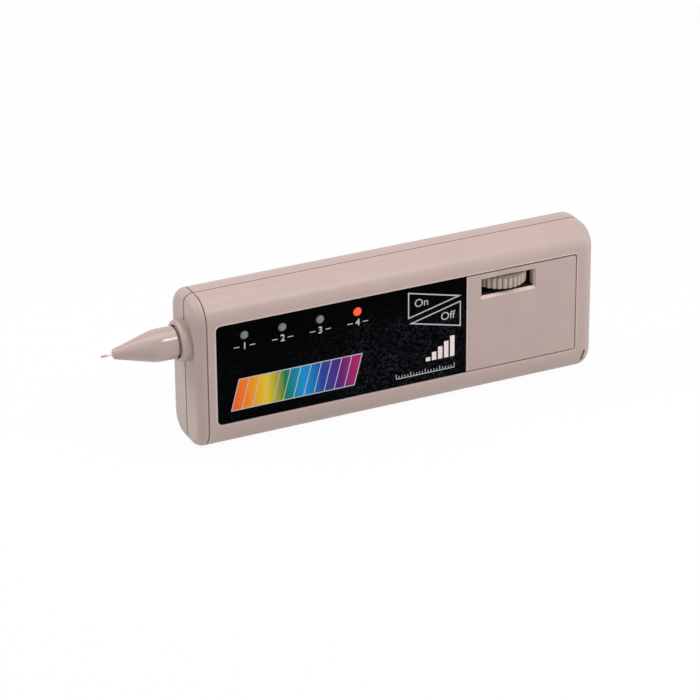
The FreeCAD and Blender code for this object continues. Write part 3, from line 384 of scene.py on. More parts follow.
class StageLook(PropertyGroup):
    """The camera, the lamps round the object and the floor."""
    azimuth: FloatProperty(name="Azimuth", description="Turn of the camera from the front, in degrees",
                           default=-25.138)
    elevation: FloatProperty(name="Elevation", description="Height of the camera, in degrees",
                             default=25.570)
    roll: FloatProperty(name="Roll", description="Roll of the camera, in degrees", default=-0.455)
    distance: FloatProperty(name="Distance", description="Camera to its aim", default=1.12424,
                            unit="LENGTH")
    focal_length: FloatProperty(name="Focal length", description="Focal length in millimetres",
                                default=177.38)
    key: FloatProperty(name="Key light", description="Power of the light in front, in watts", default=1.1)
    top: FloatProperty(name="Top light", description="Power of the light above, in watts", default=0.98)
    left: FloatProperty(name="Left light", description="Power of the light at the left, in watts",
                        default=1.6)
    right: FloatProperty(name="Right light", description="Power of the low light at the right, in watts",
                         default=1.15)
    sky: FloatProperty(name="Sky", description="Strength of the even light all round", default=0.30)
    glare: FloatProperty(name="Glare", description="How much of the floor is seen as plain white",
                         default=0.96, min=0, max=1)


# The case

def beside_panel(finish, x, z):
    """How far a place lies outside the sunk panel's outline in millimetres, less than 0 inside it."""
    low, far = (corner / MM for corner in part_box("front_label"))
    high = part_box("control_cover")[1] / MM
    middle = (low.x + high.x) / 2, (low.z + far.z) / 2
    half = (high.x - low.x) / 2, (far.z - low.z) / 2
    left_corner, right_corner = 1.6, 1.0
    corner = (x < middle[0]) * (left_corner - right_corner) + right_corner
    across = abs(x - middle[0]) - half[0] + corner
    up = abs(z - middle[1]) - half[1] + corner
    outer = finish.most(across, 0), finish.most(up, 0)
    inner = finish.math("MINIMUM", finish.most(across, up), 0)
    return (outer[0] * outer[0] + outer[1] * outer[1]) ** 0.5 + inner - corner


def within(value, low, high):
    """1 between two bounds, 0 outside."""
    return (value > low) * (value < high)


def case_plastic(name, look, part="", roughness=None, patchy=0.06):
    """Beige moulded plastic with a fine matt texture. A shell has painted shade down in its seam, ring
    groove, pry slot and the gap round its panel, and a painted highlight on the edge round its panel. The
    cover has painted highlights on its slot's bevels, where they catch the light, and along its left edge,
    and painted shade on the ledge inside its slot and along its outline."""
    finish = Finish(name)
    grain = finish.noise(look.grain, 2)
    color = finish.mixed(finish.mottle(9.0), times(look.color, 0.98), times(look.color, 1.015))
    color = finish.mixed(finish.ramp(grain, 0.35, 0.75) * 0.10, color, times(look.color, 0.72))
    painted_highlight_color = times(look.color, 1.5)
    x, y, z = finish.axes(finish.place)
    if part:
        panel = beside_panel(finish, x, z)
    if part == "shell":
        low, high = (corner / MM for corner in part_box("front_shell"))
        on_face = y < low.y + 0.35
        # Painted highlight: a lighter rim just outside the panel's edge, stronger towards the top.
        edge = 1 - finish.ramp(abs(panel - 0.50), 0.10, 0.30)
        upper = finish.ramp(z, low.z + 9, low.z + 12) * 0.4 + 0.3
        color = finish.mixed(edge * on_face * upper, color, painted_highlight_color)
        # Painted shade: darker in the gap round the panel, down the seam between the shells, in the ring
        # groove and in the pry slot.
        gap = within(panel, -0.3, 0.28) * (y < low.y + 2) * 0.15
        seam = (1 - finish.ramp(abs(y - high.y), 0.27, 0.40)) * 0.72
        ring_place = low.x + 3.325
        ring = (1 - finish.ramp(abs(x - ring_place), 0.22, 0.38)) * 0.10
        pry = within(x, high.x - 5.3, high.x - 2.6) * within(z, 3.8, 8.3)
        pry = pry * within(y, low.y + 0.9, low.y + 1.9)
        painted_groove_shade = finish.most(seam, ring, pry * 0.25, gap)
        color = finish.mixed(painted_groove_shade, color, look.painted_shade_color)
    if part == "cover":
        low, high = (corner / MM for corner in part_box("control_cover"))
        slot_right, slot_bottom = low.x + 24.6, high.z - 8.0
        # Painted highlight: lighter on the slot's lower bevel, where it catches the light.
        sill = within(x, slot_right - 20, slot_right + 0.9) * within(y, low.y + 0.03, low.y + 0.86)
        sill = sill * within(z, slot_bottom - 0.95, slot_bottom + 0.05)
        color = finish.mixed(sill, color, painted_highlight_color)
        # Painted shade: the ledge inside the wheel's slot is made nearly black.
        ledge = (y > low.y + 0.92) * within(z, slot_bottom - 0.9, slot_bottom + 0.3)
        color = finish.mixed(ledge * 0.95, color, times(look.painted_shade_color, 0.2))
        # Painted highlight: a lighter strip along the cover's left edge.
        left = 1 - finish.ramp(x, low.x + 0.2, low.x + 0.6)
        color = finish.mixed(left * 0.5, color, painted_highlight_color)
        # Painted shade: darker just inside the cover's outline, beside the gap round it.
        outline = finish.ramp(panel, -0.32, -0.10) * (x > low.x + 1) * 0.15
        color = finish.mixed(outline, color, look.painted_shade_color)
    rough = finish.noise(3.0, 3) * patchy + ((roughness or look.roughness) - patchy / 2) + grain * 0.06
    return finish.surface(Base_Color=color, Roughness=rough, Specular_IOR_Level=0.4,
                          Normal=finish.bump(grain, 0.018, 0.35))


class TESTER_OT_dress_case(Operator):
    """Gives the shells, the cover, the door, the collar and the nose their moulded finish"""
    bl_idname = "tester.dress_case"
    bl_label = "Dress the case"

    def execute(self, context):
        look = context.scene.tester_case
        dress(["front_shell", "rear_shell"], case_plastic("shell_plastic", look, "shell"))
        dress(["control_cover"], case_plastic("cover_plastic", look, "cover"))
        dress(["battery_door"], case_plastic("door_plastic", look))
        dress(["probe_collar"], case_plastic("collar_plastic", look, roughness=0.26))
        dress(["nose_cone"], case_plastic("nose_plastic", look, roughness=0.11, patchy=0.02))
        return {"FINISHED"}


# The label

def film_finish(look):
    """Dull black film, with a painted bluish reflection, mottled, towards its lower right, and a few specks
    of dust.
    """
    finish = Finish("label_film")
    x, _, z = finish.axes(finish.place)
    low, high = (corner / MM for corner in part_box("front_label"))
    size = high - low
    mottle = finish.ramp(finish.noise(1.1, 3), 0.42, 0.72)
    reflection_patches = finish.ramp(finish.noise(9.0, 2), 0.35, 0.65) * 0.6 + 0.4
    lower = 1 - finish.ramp(z, low.z + size.z * 0.45, low.z + size.z * 0.95)
    right = finish.ramp(x, low.x + size.x * 0.25, low.x + size.x * 0.65) * 0.8 + 0.2
    specks = finish.ramp(finish.noise(0.42, 1), 0.72, 0.80)
    # Painted reflection: a bluish mottle, stronger towards the lower right.
    color = finish.mixed(mottle * reflection_patches * lower * right, look.film, (0.016, 0.021, 0.028))
    color = finish.mixed(specks * 0.5, color, (0.05, 0.06, 0.07))
    return finish.surface(Base_Color=color, Roughness=0.45 + mottle * 0.1, Specular_IOR_Level=0.01,
                          Normal=finish.bump(mottle, 0.01, 0.3))


def ink_finish(name, color):
    """Flat printed ink, very slightly uneven."""
    finish = Finish(name)
    patchy = finish.ramp(finish.noise(0.5, 3), 0.35, 0.65)
    shade = finish.mixed(patchy, times(color, 0.90), color)
    return finish.surface(Base_Color=shade, Roughness=0.45 + patchy * 0.1, Specular_IOR_Level=0.2)


def spectrum_finish(left, right):
    """Ink that runs through the rainbow along X."""
    finish = Finish("spectrum_ink")
    x, _, _ = finish.axes(finish.place)
    along = (x - left / MM) / ((right - left) / MM)
    stops = [(0.00, (0.80, 0.08, 0.02)), (0.12, (0.82, 0.20, 0.01)), (0.27, (0.74, 0.52, 0.01)),
             (0.41, (0.00, 0.18, 0.05)), (0.55, (0.00, 0.27, 0.62)), (0.69, (0.01, 0.05, 0.31)),
             (0.82, (0.07, 0.01, 0.19)), (1.00, (0.50, 0.01, 0.10))]
    rainbow = finish.add("ShaderNodeValToRGB", {0: along}, {"stops": stops})
    patchy = finish.ramp(finish.noise(0.4, 3), 0.35, 0.65)
    color = finish.mixed(patchy * 0.02, rainbow, (0.8, 0.8, 0.8))
    return finish.surface(Base_Color=color, Roughness=0.42 + patchy * 0.06, Specular_IOR_Level=0.06)


class FacePlan:
    """The front seen flat: points in millimetres from the case's corner, along X and up Z."""

    def __init__(self):
        self.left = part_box("front_shell")[0].x
        self.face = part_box("front_label")[0].y

    def at(self, u, z, lift=0.0):
        """A point of the plan in space, in metres, with the lift in front of the label."""
        return Vector((self.left + u * MM, self.face - lift, z * MM))


def rectangle(left, right, low, high):
    """The corners of a rectangle, the lower two first."""
    return [(left, low), (right, low), (right, high), (left, high)]


def outlined(corners, width):
    """A line of a width inside a convex outline, as one quad for each side."""
    points = [Vector(corner) for corner in corners]
    inner = []
    for before, here, after in zip(points[-1:] + points[:-1], points, points[1:] + points[:1]):
        back, ahead = (before - here).normalized(), (after - here).normalized()
        half = back.angle(ahead) / 2
        inner.append(here + (back + ahead).normalized() * (width / math.sin(half)))
    return list(zip(corners, corners[1:] + corners[:1], inner[1:] + inner[:1], inner))


def printed(name, plan, polygons, look, material):
    """Flat ink on the label, from polygons of the plan."""
    def build(work):
        for polygon in polygons:
            work.faces.new([work.verts.new(plan.at(u, z)) for u, z in polygon])
        bmesh.ops.remove_doubles(work, verts=work.verts, dist=0.001 * MM)
        thicken(work, work.faces[:], look.ink_thickness)

    new_piece(name, mesh_from(name, build), "case", material=material)


def lettering(name, plan, words, look, material, weight=0.0):
    """Printed characters, each (text, height, u, z) from its middle. Weight thickens the strokes."""
    capital = 0.69  # height of a capital letter as a share of the font's size
    join = bmesh.new()
    for text, height, u, z in words:
        curve = bpy.data.curves.new(name, "FONT")
        curve.body = text
        curve.size = height / capital
        curve.extrude = look.ink_thickness / 2
        curve.offset = weight
        curve.align_x = "CENTER"
        curve.align_y = "CENTER"
        source = placed(name, curve)
        mesh = bpy.data.meshes.new_from_object(source.evaluated_get(depsgraph()))
        bpy.data.objects.remove(source)
        mesh.transform(Matrix.Translation(plan.at(u, z, look.ink_thickness / 2)) @ TO_FACE)
        join.from_mesh(mesh)
        bpy.data.meshes.remove(mesh)
        bpy.data.curves.remove(curve)
    bmesh.ops.remove_doubles(join, verts=join.verts, dist=0.001 * MM)
    mesh = bpy.data.meshes.new(name)
    join.to_mesh(mesh)
    join.free()
    new_piece(name, mesh, "case", material=material)


def flat_prism(name, outline, thickness):
    """A thin plate from an outline in X and Z, in millimetres, with its back on the X-Z plane."""
    def build(work):
        face = work.faces.new([work.verts.new((x * MM, 0, z * MM)) for x, z in outline])
        thicken(work, [face], thickness)

    return placed(name, mesh_from(name, build))


def printed_row(name, plate, start, pitch, count, material, every=1, stretch=1.0):
    """A row of like plates along X, grown on a line. Every so many is stretched along Z."""
    tree = Growth(name, Plate=plate, Start=start, Pitch=pitch, Count=count, Every=every, Stretch=stretch)
    line = tree.add("GeometryNodeMeshLine", {"Count": tree.size("Count")})
    number = tree.add("GeometryNodeInputIndex")
    along = tree.add("ShaderNodeCombineXYZ", {0: number * tree.size("Pitch")})
    position = tree.vector("ADD", tree.size("Start"), along)
    places = tree.add("GeometryNodeSetPosition", {"Geometry": line, "Position": position})
    chosen = tree.math("MODULO", number, tree.size("Every")) < 0.5
    tall = 1 + chosen * (tree.size("Stretch") - 1)
    height = tree.add("ShaderNodeCombineXYZ", {0: 1.0, 1: 1.0, 2: tall})
    shape = tree.add("GeometryNodeObjectInfo", {0: tree.size("Plate")}, output="Geometry")
    row = tree.add("GeometryNodeInstanceOnPoints", {"Points": places, "Instance": shape, "Scale": height})
    tree.ends(row, material)
    piece = new_piece(name, bpy.data.meshes.new(name), "case")
    tree.grown(piece)
    bpy.data.objects.remove(plate)


def spectrum_band(plan, look, white):
    """A slanted band of coloured stripes on a white ground, which shows as thin lines between them."""
    low_u, high_u, low_z, high_z = 11.0, 57.5, 13.0, 24.0
    slant, line = 3.0, 0.32
    ground = [(low_u, low_z), (high_u - slant, low_z), (high_u, high_z), (low_u + slant, high_z)]
    printed("spectrum_ground", plan, [ground], look, white)
    pitch = (high_u - slant - low_u - line) / look.stripes
    height = high_z - low_z - 2 * line
    lean = slant * height / (high_z - low_z)
    stripe = [(0, 0), (pitch - line, 0), (pitch - line + lean, height), (lean, height)]
    plate = flat_prism("stripe", stripe, look.ink_thickness)
    start = plan.at(low_u + line + slant * line / (high_z - low_z), low_z + line, look.ink_thickness)
    finish = spectrum_finish(plan.at(low_u, 0).x, plan.at(high_u, 0).x)
    printed_row("spectrum_stripes", plate, start, pitch * MM, look.stripes, finish)


def tick_scale(plan, look, white):
    """A small ruled scale with five longer ticks."""
    left, right, base = 69.5, 90.5, 12.0
    pitch = (right - left) / (look.ticks - 1)
    width, height, rule_width = 0.22, 0.9, 0.25
    plate = flat_prism("tick", rectangle(-width / 2, width / 2, 0, height), look.ink_thickness)
    printed_row("scale_ticks", plate, plan.at(left, base), pitch * MM, look.ticks, white,
                every=(look.ticks - 1) // 4, stretch=1.7)
    rule = rectangle(left - width / 2, right + width / 2, base - rule_width, base)
    printed("scale_rule", plan, [rule], look, white)


class TESTER_OT_print_label(Operator):
    """Gives the label its black film and its white and coloured print"""
    bl_idname = "tester.print_label"
    bl_label = "Print the label"

    def execute(self, context):
        look = context.scene.tester_label
        plan = FacePlan()
        dress(["front_label"], film_finish(look))
        white = ink_finish("white_ink", look.ink)
        upper = [(73.75, 41.9), (73.75, 32.5), (93.1, 37.2)]
        lower = [(92.85, 35.4), (74.0, 30.75), (92.85, 26.2)]
        wedges = [outlined(wedge, look.line / MM) for wedge in (upper, lower)]
        printed("switch_wedges", plan, [*wedges[0], *wedges[1]], look, white)
        letter = 2.7 * MM
        words = [("On", letter, 78.6, 37.4), ("Off", letter, 88.1, 30.8)]
        lettering("switch_words", plan, words, look, white)
        digits, dashes = [], []
        row, dash_start, dash_end, half_dash = 35.1, 1.8, 3.7, 0.15
        for number in range(4):
            low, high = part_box(f"status_lamp_{number + 1}")
            u = ((low.x + high.x) / 2 - plan.left) / MM
            digits.append((str(number + 1), look.digit, u, row))
            for side in (-1, 1):
                near, far = sorted((u + side * dash_start, u + side * dash_end))
                dashes.append(rectangle(near, far, row - half_dash, row + half_dash))
        lettering("lamp_numbers", plan, digits, look, white, 0.06 * MM)
        printed("lamp_dashes", plan, dashes, look, white)
        spectrum_band(plan, look, white)
        tick_scale(plan, look, white)
        bars = []
        bar_base, bar_width = 16.0, 1.6
        for step in range(5):
            left, top = 80.2 + step * 2.2, 17.4 + step * 1.5
            bars.append(rectangle(left, left + bar_width, bar_base, top))
        printed("level_bars", plan, bars, look, ink_finish("bar_ink", look.bar_ink))
        return {"FINISHED"}


# The lamps

def lens_finish(name, color, glow, first, pitch, radius):
    """Diffusing plastic, lit from within or not, darker towards the rim of each lens: painted shade on an
    unlit lens, and a glow that fades towards the rim on the lit one.
    """
    finish = Finish(name)
    x, _, z = finish.axes(finish.vector("SUBTRACT", finish.place, first / MM))
    steps = x / (pitch / MM)
    x = (steps - finish.math("ROUND", steps)) * (pitch / MM)
    # Painted shade on an unlit lens, darker towards its rim; on the lit lens the glow fades there.
    rim = finish.ramp((x * x + z * z) ** 0.5, radius / MM * 0.45, radius / MM * 1.02)
    shade = finish.mixed(rim * 0.9 + finish.mottle(0.8) * 0.1, color, times(color, 0.45))
    if glow:
        return finish.surface(Base_Color=times(color, 0.3), Emission_Color=shade,
                              Emission_Strength=glow, Roughness=0.3)
    return finish.surface(Base_Color=shade, Roughness=0.32, Specular_IOR_Level=0.3)


class TESTER_OT_fit_lamps(Operator):
    """Makes the four lamps, each with a domed lens, a flange and two legs"""
    bl_idname = "tester.fit_lamps"
    bl_label = "Fit the lamps"

    def execute(self, context):
        look = context.scene.tester_lamps
        boxes = [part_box(f"status_lamp_{number + 1}") for number in range(4)]
        first = (boxes[0][0] + boxes[0][1]) / 2
        pitch = boxes[1][0].x - boxes[0][0].x
        radius, dome = 1.55 * MM, 0.5 * MM
        flange, flange_start, flange_end = 1.85 * MM, 4.4 * MM, 5.2 * MM
        leg, leg_spacing = 0.25 * MM, 2.54 * MM
        unlit = lens_finish("unlit_lens", look.unlit, 0, first, pitch, radius)
        lit = lens_finish("lit_lens", look.lit, look.glow, first, pitch, radius)
        lit_number = 3
        for number in range(4):
            name = f"status_lamp_{number + 1}"
            low, high = boxes[number]
            place = Matrix.Translation(((low.x + high.x) / 2, low.y, (low.z + high.z) / 2))
            place = place @ Matrix.Rotation(-math.pi / 2, 4, "X")
            across = [radius * math.sin(math.radians(angle)) for angle in range(0, 91, 10)]
            tip = [(r, dome * (1 - math.sqrt(max(1 - (r / radius) ** 2, 0)))) for r in across]
            profile = [*tip, (radius, flange_start), (flange, flange_start), (flange, flange_end),
                       (0, flange_end)]

            def build(work):
                lathe(work, profile, 40, place)
                length = high.y - low.y
                rod = [(0, flange_end), (leg, flange_end), (leg, length), (0, length)]
                for side in (-leg_spacing / 2, leg_spacing / 2):
                    lathe(work, rod, 12, place @ Matrix.Translation((0, side, 0)))

            slot, material = ("lamp_lit", lit) if number == lit_number else ("lamp_unlit", unlit)
            lens = smooth(mesh_from(name, build))
            new_piece(f"lens_{number + 1}", lens, "case", [name], material)
        return {"FINISHED"}


# The wheel

class TESTER_OT_cut_wheel(Operator):
    """Turns the wheel's blank and grows its ribs round the rim"""
    bl_idname = "tester.cut_wheel"
    bl_label = "Cut the wheel"

    def execute(self, context):
        look = context.scene.tester_wheel
        low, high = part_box("thumbwheel")
        radius = (high.x - low.x) / 2
        thickness = high.z - low.z
        middle = Vector(((low.x + high.x) / 2, (low.y + high.y) / 2, low.z))
        bore = 3.0 * MM
        well, well_depth = 4.4 * MM, 1.3 * MM
        edge = 0.45 * MM
        rib_start, rib_full, rib_fullness = 1.2 * MM, 0.5 * MM, 0.9
        rim = arc((radius - edge, thickness - edge), edge, 90, 0, 4)
        rim += arc((radius - edge, edge), edge, 0, -90, 4)
        profile = [(bore, well_depth), (bore, thickness), (radius - 3 * edge, thickness), *rim,
                   (radius - 3 * edge, 0), (well, 0), (well, well_depth), (bore, well_depth)]

        def build(work):
            lathe(work, profile, look.ribs * 12, Matrix.Translation(middle))
            bmesh.ops.remove_doubles(work, verts=work.verts, dist=0.0001 * MM)

        finish = Finish("wheel_plastic")
        x, y, height = finish.axes(finish.vector("SUBTRACT", finish.place, middle / MM))
        distance = (x * x + y * y) ** 0.5
        # Painted shade: darker between the ribs near the rim, across the top edge, which the slot's upper
        # lip would shadow, and on the underside.
        painted_groove_shade = 1 - finish.ramp(distance, (radius - look.depth) / MM, (radius - look.depth * 0.1) / MM)
        grain = finish.noise(0.3, 2)
        outer = finish.ramp(distance, radius / MM - 1.6, (radius - rib_start) / MM)
        top = finish.ramp(height, thickness / MM - 0.8, thickness / MM - 0.4)
        underside_shade = 1 - finish.ramp(height, 0.2, 0.45)
        dark = finish.most(painted_groove_shade * outer * 0.65, top * 0.8, underside_shade * 0.9)
        shade = finish.mixed(dark, look.color, times(look.color, 0.30))
        material = finish.surface(Base_Color=shade, Roughness=0.42 + grain * 0.08,
                                  Normal=finish.bump(grain, 0.01, 0.3))
        tree = Growth("wheel_ribs", Ribs=look.ribs, Depth=look.depth, Radius=radius, Middle=middle,
                      Turn=0.02)
        place = tree.add("GeometryNodeInputPosition")
        x, y, _ = tree.axes(tree.vector("SUBTRACT", place, tree.size("Middle")))
        from_axis = (x * x + y * y) ** 0.5
        angle = tree.math("ARCTAN2", y, x)
        rib = abs(tree.math("SINE", (angle + tree.size("Turn")) * tree.size("Ribs") * 0.5)) ** rib_fullness
        rim_only = tree.ramp(from_axis, tree.size("Radius") - rib_start, tree.size("Radius") - rib_full)
        inward = (1 - rib) * rim_only * tree.size("Depth") / from_axis
        move = tree.add("ShaderNodeCombineXYZ", {0: 0 - x * inward, 1: 0 - y * inward})
        moved = tree.add("GeometryNodeSetPosition", {"Geometry": tree.size("Geometry"), "Offset": move})
        tree.ends(moved, material)
        wheel = new_piece("ribbed_wheel", mesh_from("ribbed_wheel", build), "wheel",
                          ["thumbwheel"])
        tree.grown(wheel)
        smooth(wheel.data)
        return {"FINISHED"}


# The probe

class TESTER_OT_finish_probe(Operator):
    """Finishes the needle and its sleeve"""
    bl_idname = "tester.finish_probe"
    bl_label = "Finish the probe"

    def execute(self, context):
        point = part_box("probe_needle")[0].x / MM
        finish = Finish("needle_copper")
        x, _, _ = finish.axes(finish.place)
        tip = 1 - finish.ramp(x, point + 1.2, point + 2.6)
        streaks = finish.mottle(0.25, finish.stretched(x=0.2))
        color = finish.mixed(streaks, (0.72, 0.55, 0.50), (0.80, 0.65, 0.60))
        color = finish.mixed(tip * 0.8, color, (0.38, 0.20, 0.19))
        dress(["probe_needle"], finish.surface(Base_Color=color, Metallic=0.25, Roughness=0.5))
        dress(["needle_sleeve"], plain("ceramic", (0.82, 0.80, 0.74), 0.35))
        return {"FINISHED"}


def plain(name, color, roughness, metallic=0.0, size=1.5, vary=0.08, bump=0.01):
    """A simple finish with a faint mottle in its colour, gloss and surface."""
    finish = Finish(name)
    mottle = finish.mottle(size)
    shade = finish.mixed(mottle, times(color, 1 - vary), times(color, 1 + vary))
    return finish.surface(Base_Color=shade, Roughness=roughness + mottle * 0.06, Metallic=metallic,
                          Normal=finish.bump(mottle, bump, 0.3))


class TESTER_OT_coil_spring(Operator):
    """Winds the probe's spring"""
    bl_idname = "tester.coil_spring"
    bl_label = "Coil the spring"

    def execute(self, context):
        look = context.scene.tester_spring
        low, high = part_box("probe_spring")
        middle = (low + high) / 2
        reach = (high.z - low.z) / 2 - look.wire
        length = high.x - low.x
        pitch = (length - 2 * look.wire) / look.turns
        rings, corners = 48 * look.turns, 12
        angles = [FULL_TURN * corner / corners for corner in range(corners)]

        def build(work):
            loops = []
            for step in range(rings + 1):
                turn = FULL_TURN * look.turns * step / rings
                outward = Vector((0, math.cos(turn), math.sin(turn)))
                ahead = Vector((pitch / FULL_TURN, -reach * math.sin(turn), reach * math.cos(turn)))
                across = outward.cross(ahead.normalized())
                centre = Vector((low.x + look.wire + pitch * turn / FULL_TURN, middle.y, middle.z))
                centre += outward * reach
                around = [outward * math.cos(angle) + across * math.sin(angle) for angle in angles]
                loops.append([work.verts.new(centre + side * look.wire) for side in around])
            for near, far in zip(loops, loops[1:]):
                for corner in range(corners):
                    after = (corner + 1) % corners
                    work.faces.new([near[corner], near[after], far[after], far[corner]])
            work.faces.new(loops[0])
            work.faces.new(loops[-1])

        wire = plain("spring_wire", look.color, 0.28, metallic=1.0)
        spring = new_piece("coiled_spring", smooth(mesh_from("coiled_spring", build)), "case",
                           ["probe_spring"], wire)
        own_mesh(spring)
        return {"FINISHED"}


# The inside

TIN = (0.62, 0.62, 0.60)

# Simple finishes: the name, the colour, the roughness and the nodes
SIMPLE = (
    ("stem_beige", (0.42, 0.32, 0.28), 0.6, "probe_stem"),
    ("heater_glaze", (0.50, 0.38, 0.26), 0.3, "probe_heater"),
    ("bead_glass", (0.16, 0.10, 0.03), 0.1, "thermistor_bead"),
    ("nylon", (0.80, 0.79, 0.74), 0.45, "wheel_spindle", "probe_plug"),
    ("black_plastic", (0.03, 0.03, 0.032), 0.4, "lamp_spacers", "spring_seat", "battery_snap"),
    ("chip_epoxy", (0.035, 0.035, 0.038), 0.5, "voltage_regulator", "sounder"),
    ("trimmer_blue", (0.03, 0.12, 0.50), 0.4, "calibration_trimmers"),
    ("red_wire", (0.55, 0.02, 0.015), 0.4, "battery_lead_red", "probe_lead_red"),
    ("black_wire", (0.02, 0.02, 0.02), 0.4, "battery_lead_black"),
    ("white_wire", (0.80, 0.80, 0.78), 0.4, "probe_lead_white"),
)


def part_bare(name, color, roughness, bare):
    """Plastic with bare tinned metal where a function of the finish and its place gives 1."""
    finish = Finish(name)
    x, y, z = finish.axes(finish.place)
    metal = bare(finish, x, y, z)
    mottle = finish.mottle(1.0)
    shade = finish.mixed(mottle, times(color, 0.88), color)
    shade = finish.mixed(metal, shade, TIN)
    return finish.surface(Base_Color=shade, Roughness=roughness + mottle * 0.06, Metallic=metal * 0.9)


def chip_finish(node):
    """Black epoxy with tinned legs at both long sides and below."""
    low, high = (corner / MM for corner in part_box(node))
    stand = 0.48
    middle, half = (low.z + high.z) / 2, (high.z - low.z) / 2 - stand
    return part_bare(f"{node}_epoxy", (0.035, 0.035, 0.038), 0.5,
                     lambda finish, x, y, z: finish.most(abs(z - middle) > half, y < low.y + stand))


def resistor_finish():
    """Lacquered bodies with four coloured bands, between bare wires."""
    low, high = (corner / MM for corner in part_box("resistors"))
    finish = Finish("resistor_lacquer")
    x, y, z = finish.axes(finish.place)
    middle, half_body, spacing, half_band = (low.z + high.z) / 2, 3.15, 3.4, 0.32
    bare = finish.most(abs(z - middle) > half_body, y < low.y + 0.3)
    number = finish.math("FLOOR", (x - low.x) / spacing)
    color = finish.mixed(finish.mottle(0.8), (0.54, 0.43, 0.25), (0.64, 0.52, 0.31))
    inks = [(0.0, (0.10, 0.03, 0.01)), (0.2, (0.45, 0.01, 0.01)), (0.4, (0.60, 0.15, 0.01)),
            (0.6, (0.60, 0.50, 0.02)), (0.8, (0.02, 0.20, 0.04)), (1.0, (0.12, 0.03, 0.25))]
    for band, place in enumerate((-2.2, -1.1, 0.0)):
        chance = finish.add("ShaderNodeTexWhiteNoise", {"W": number + band * 0.37},
                            {"noise_dimensions": "1D"})
        ink = finish.add("ShaderNodeValToRGB", {0: chance}, {"stops": inks})
        color = finish.mixed(abs(z - (middle + place)) < half_band, color, ink)
    color = finish.mixed(abs(z - (middle + 1.9)) < half_band, color, (0.45, 0.30, 0.08))
    color = finish.mixed(bare, color, TIN)
    return finish.surface(Base_Color=color, Roughness=0.38 - bare * 0.08, Metallic=bare * 0.9)


def battery_finish():
    """A dark sleeve with a silver end towards the terminals, and the brown plate they stand on."""
    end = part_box("battery")[0].x / MM
    finish = Finish("battery_sleeve")
    x, _, _ = finish.axes(finish.place)
    scuffs = finish.mottle(1.5, finish.stretched(x=0.3))
    silver_end, line_end = end + 12, end + 12.7
    silver = x < silver_end
    line = within(x, silver_end, line_end)
    color = finish.mixed(scuffs, (0.012, 0.014, 0.020), (0.020, 0.023, 0.032))
    color = finish.mixed(silver, color, (0.50, 0.51, 0.53))
    color = finish.mixed(line, color, (0.75, 0.74, 0.70))
    color = finish.mixed(x < end + 0.2, color, (0.10, 0.06, 0.035))
    return finish.surface(Base_Color=color, Roughness=0.28 + scuffs * 0.1, Metallic=silver * 0.7)


def board_finish():
    """Green solder mask with paler tracks along the board and tinned pads on an inch-tenth grid."""
    finish = Finish("solder_mask")
    x, _, z = finish.axes(finish.place)
    pitch, pad_radius, half_track = 2.54, 0.62, 0.28
    column, row = (finish.math("ROUND", along / pitch) for along in (x, z))
    across, up = x - column * pitch, z - row * pitch
    cell = finish.add("ShaderNodeCombineXYZ", {0: column, 1: row})
    chance = finish.add("ShaderNodeTexWhiteNoise", {"Vector": cell}, {"noise_dimensions": "2D"})
    pad = ((across * across + up * up) ** 0.5 < pad_radius) * (chance > 0.55)
    run = finish.noise(9.0, 0, finish.stretched(x=0.35, z=2.0)) > 0.5
    track = (abs(up) < half_track) * run
    weave = finish.mottle(2.0)
    color = finish.mixed(weave, (0.018, 0.14, 0.055), (0.022, 0.17, 0.065))
    color = finish.mixed(track * 0.8, color, (0.05, 0.28, 0.10))
    color = finish.mixed(pad, color, TIN)
    return finish.surface(Base_Color=color, Roughness=0.3 + weave * 0.05, Metallic=pad * 0.8,
                          Normal=finish.bump(track, 0.04, 0.5))


class TESTER_OT_dress_inside(Operator):
    """Gives the board, its parts, the battery, the wires and the screws their finishes"""
    bl_idname = "tester.dress_inside"
    bl_label = "Dress the inside"

    def execute(self, context):
        dress(["case_screws", "board_screws", "wheel_screw", "retaining_clip", "battery_terminals"],
              plain("zinc_steel", TIN, 0.32, metallic=1.0))
        for name, color, roughness, *nodes in SIMPLE:
            dress(nodes, plain(name, color, roughness))
        for node in ("measuring_chip", "comparator_chip"):
            dress([node], chip_finish(node))
        top_thickness, lug_reach = 0.1, 12.3
        can_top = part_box("smoothing_capacitors")[1].y / MM - top_thickness
        dress(["smoothing_capacitors"], part_bare("capacitor_sleeve", (0.03, 0.05, 0.16), 0.3,
                                                  lambda finish, x, y, z: y > can_top))
        dress(["resistors"], resistor_finish())
        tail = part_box("wheel_potentiometer")[1].x / MM - lug_reach
        dress(["wheel_potentiometer"], part_bare("phenolic", (0.10, 0.055, 0.03), 0.45,
                                                 lambda finish, x, y, z: x < tail))
        dress(["main_circuit_board"], board_finish())
        dress(["battery"], battery_finish())
        dress(["battery_pad"], plain("foam", (0.05, 0.05, 0.055), 0.9, size=0.4, vary=0.4, bump=0.15))
        return {"FINISHED"}


# The stage

def direction(azimuth, elevation):
    """Where two angles in degrees point, seen from the object. Azimuth 0 is its front."""
    turn, rise = math.radians(azimuth), math.radians(elevation)
    return Vector((math.sin(turn) * math.cos(rise), -math.cos(turn) * math.cos(rise), math.sin(rise)))


def view_axes(look):
    """The camera's right, up and backward directions."""
    turn, roll = math.radians(look.azimuth), math.radians(look.roll)
    back = direction(look.azimuth, look.elevation)
    level = Vector((math.cos(turn), math.sin(turn), 0))
    upright = back.cross(level)
    right = level * math.cos(roll) + upright * math.sin(roll)
    return right, back.cross(right), back


def seen(tree):
    """1 for what the camera, mirrors and glass see, 0 for what lights the object."""
    path = tree.add("ShaderNodeLightPath").socket.node
    return tree.most(*(Term(tree, path.outputs[name]) for name in
                       ("Is Camera Ray", "Is Glossy Ray", "Is Transmission Ray")))


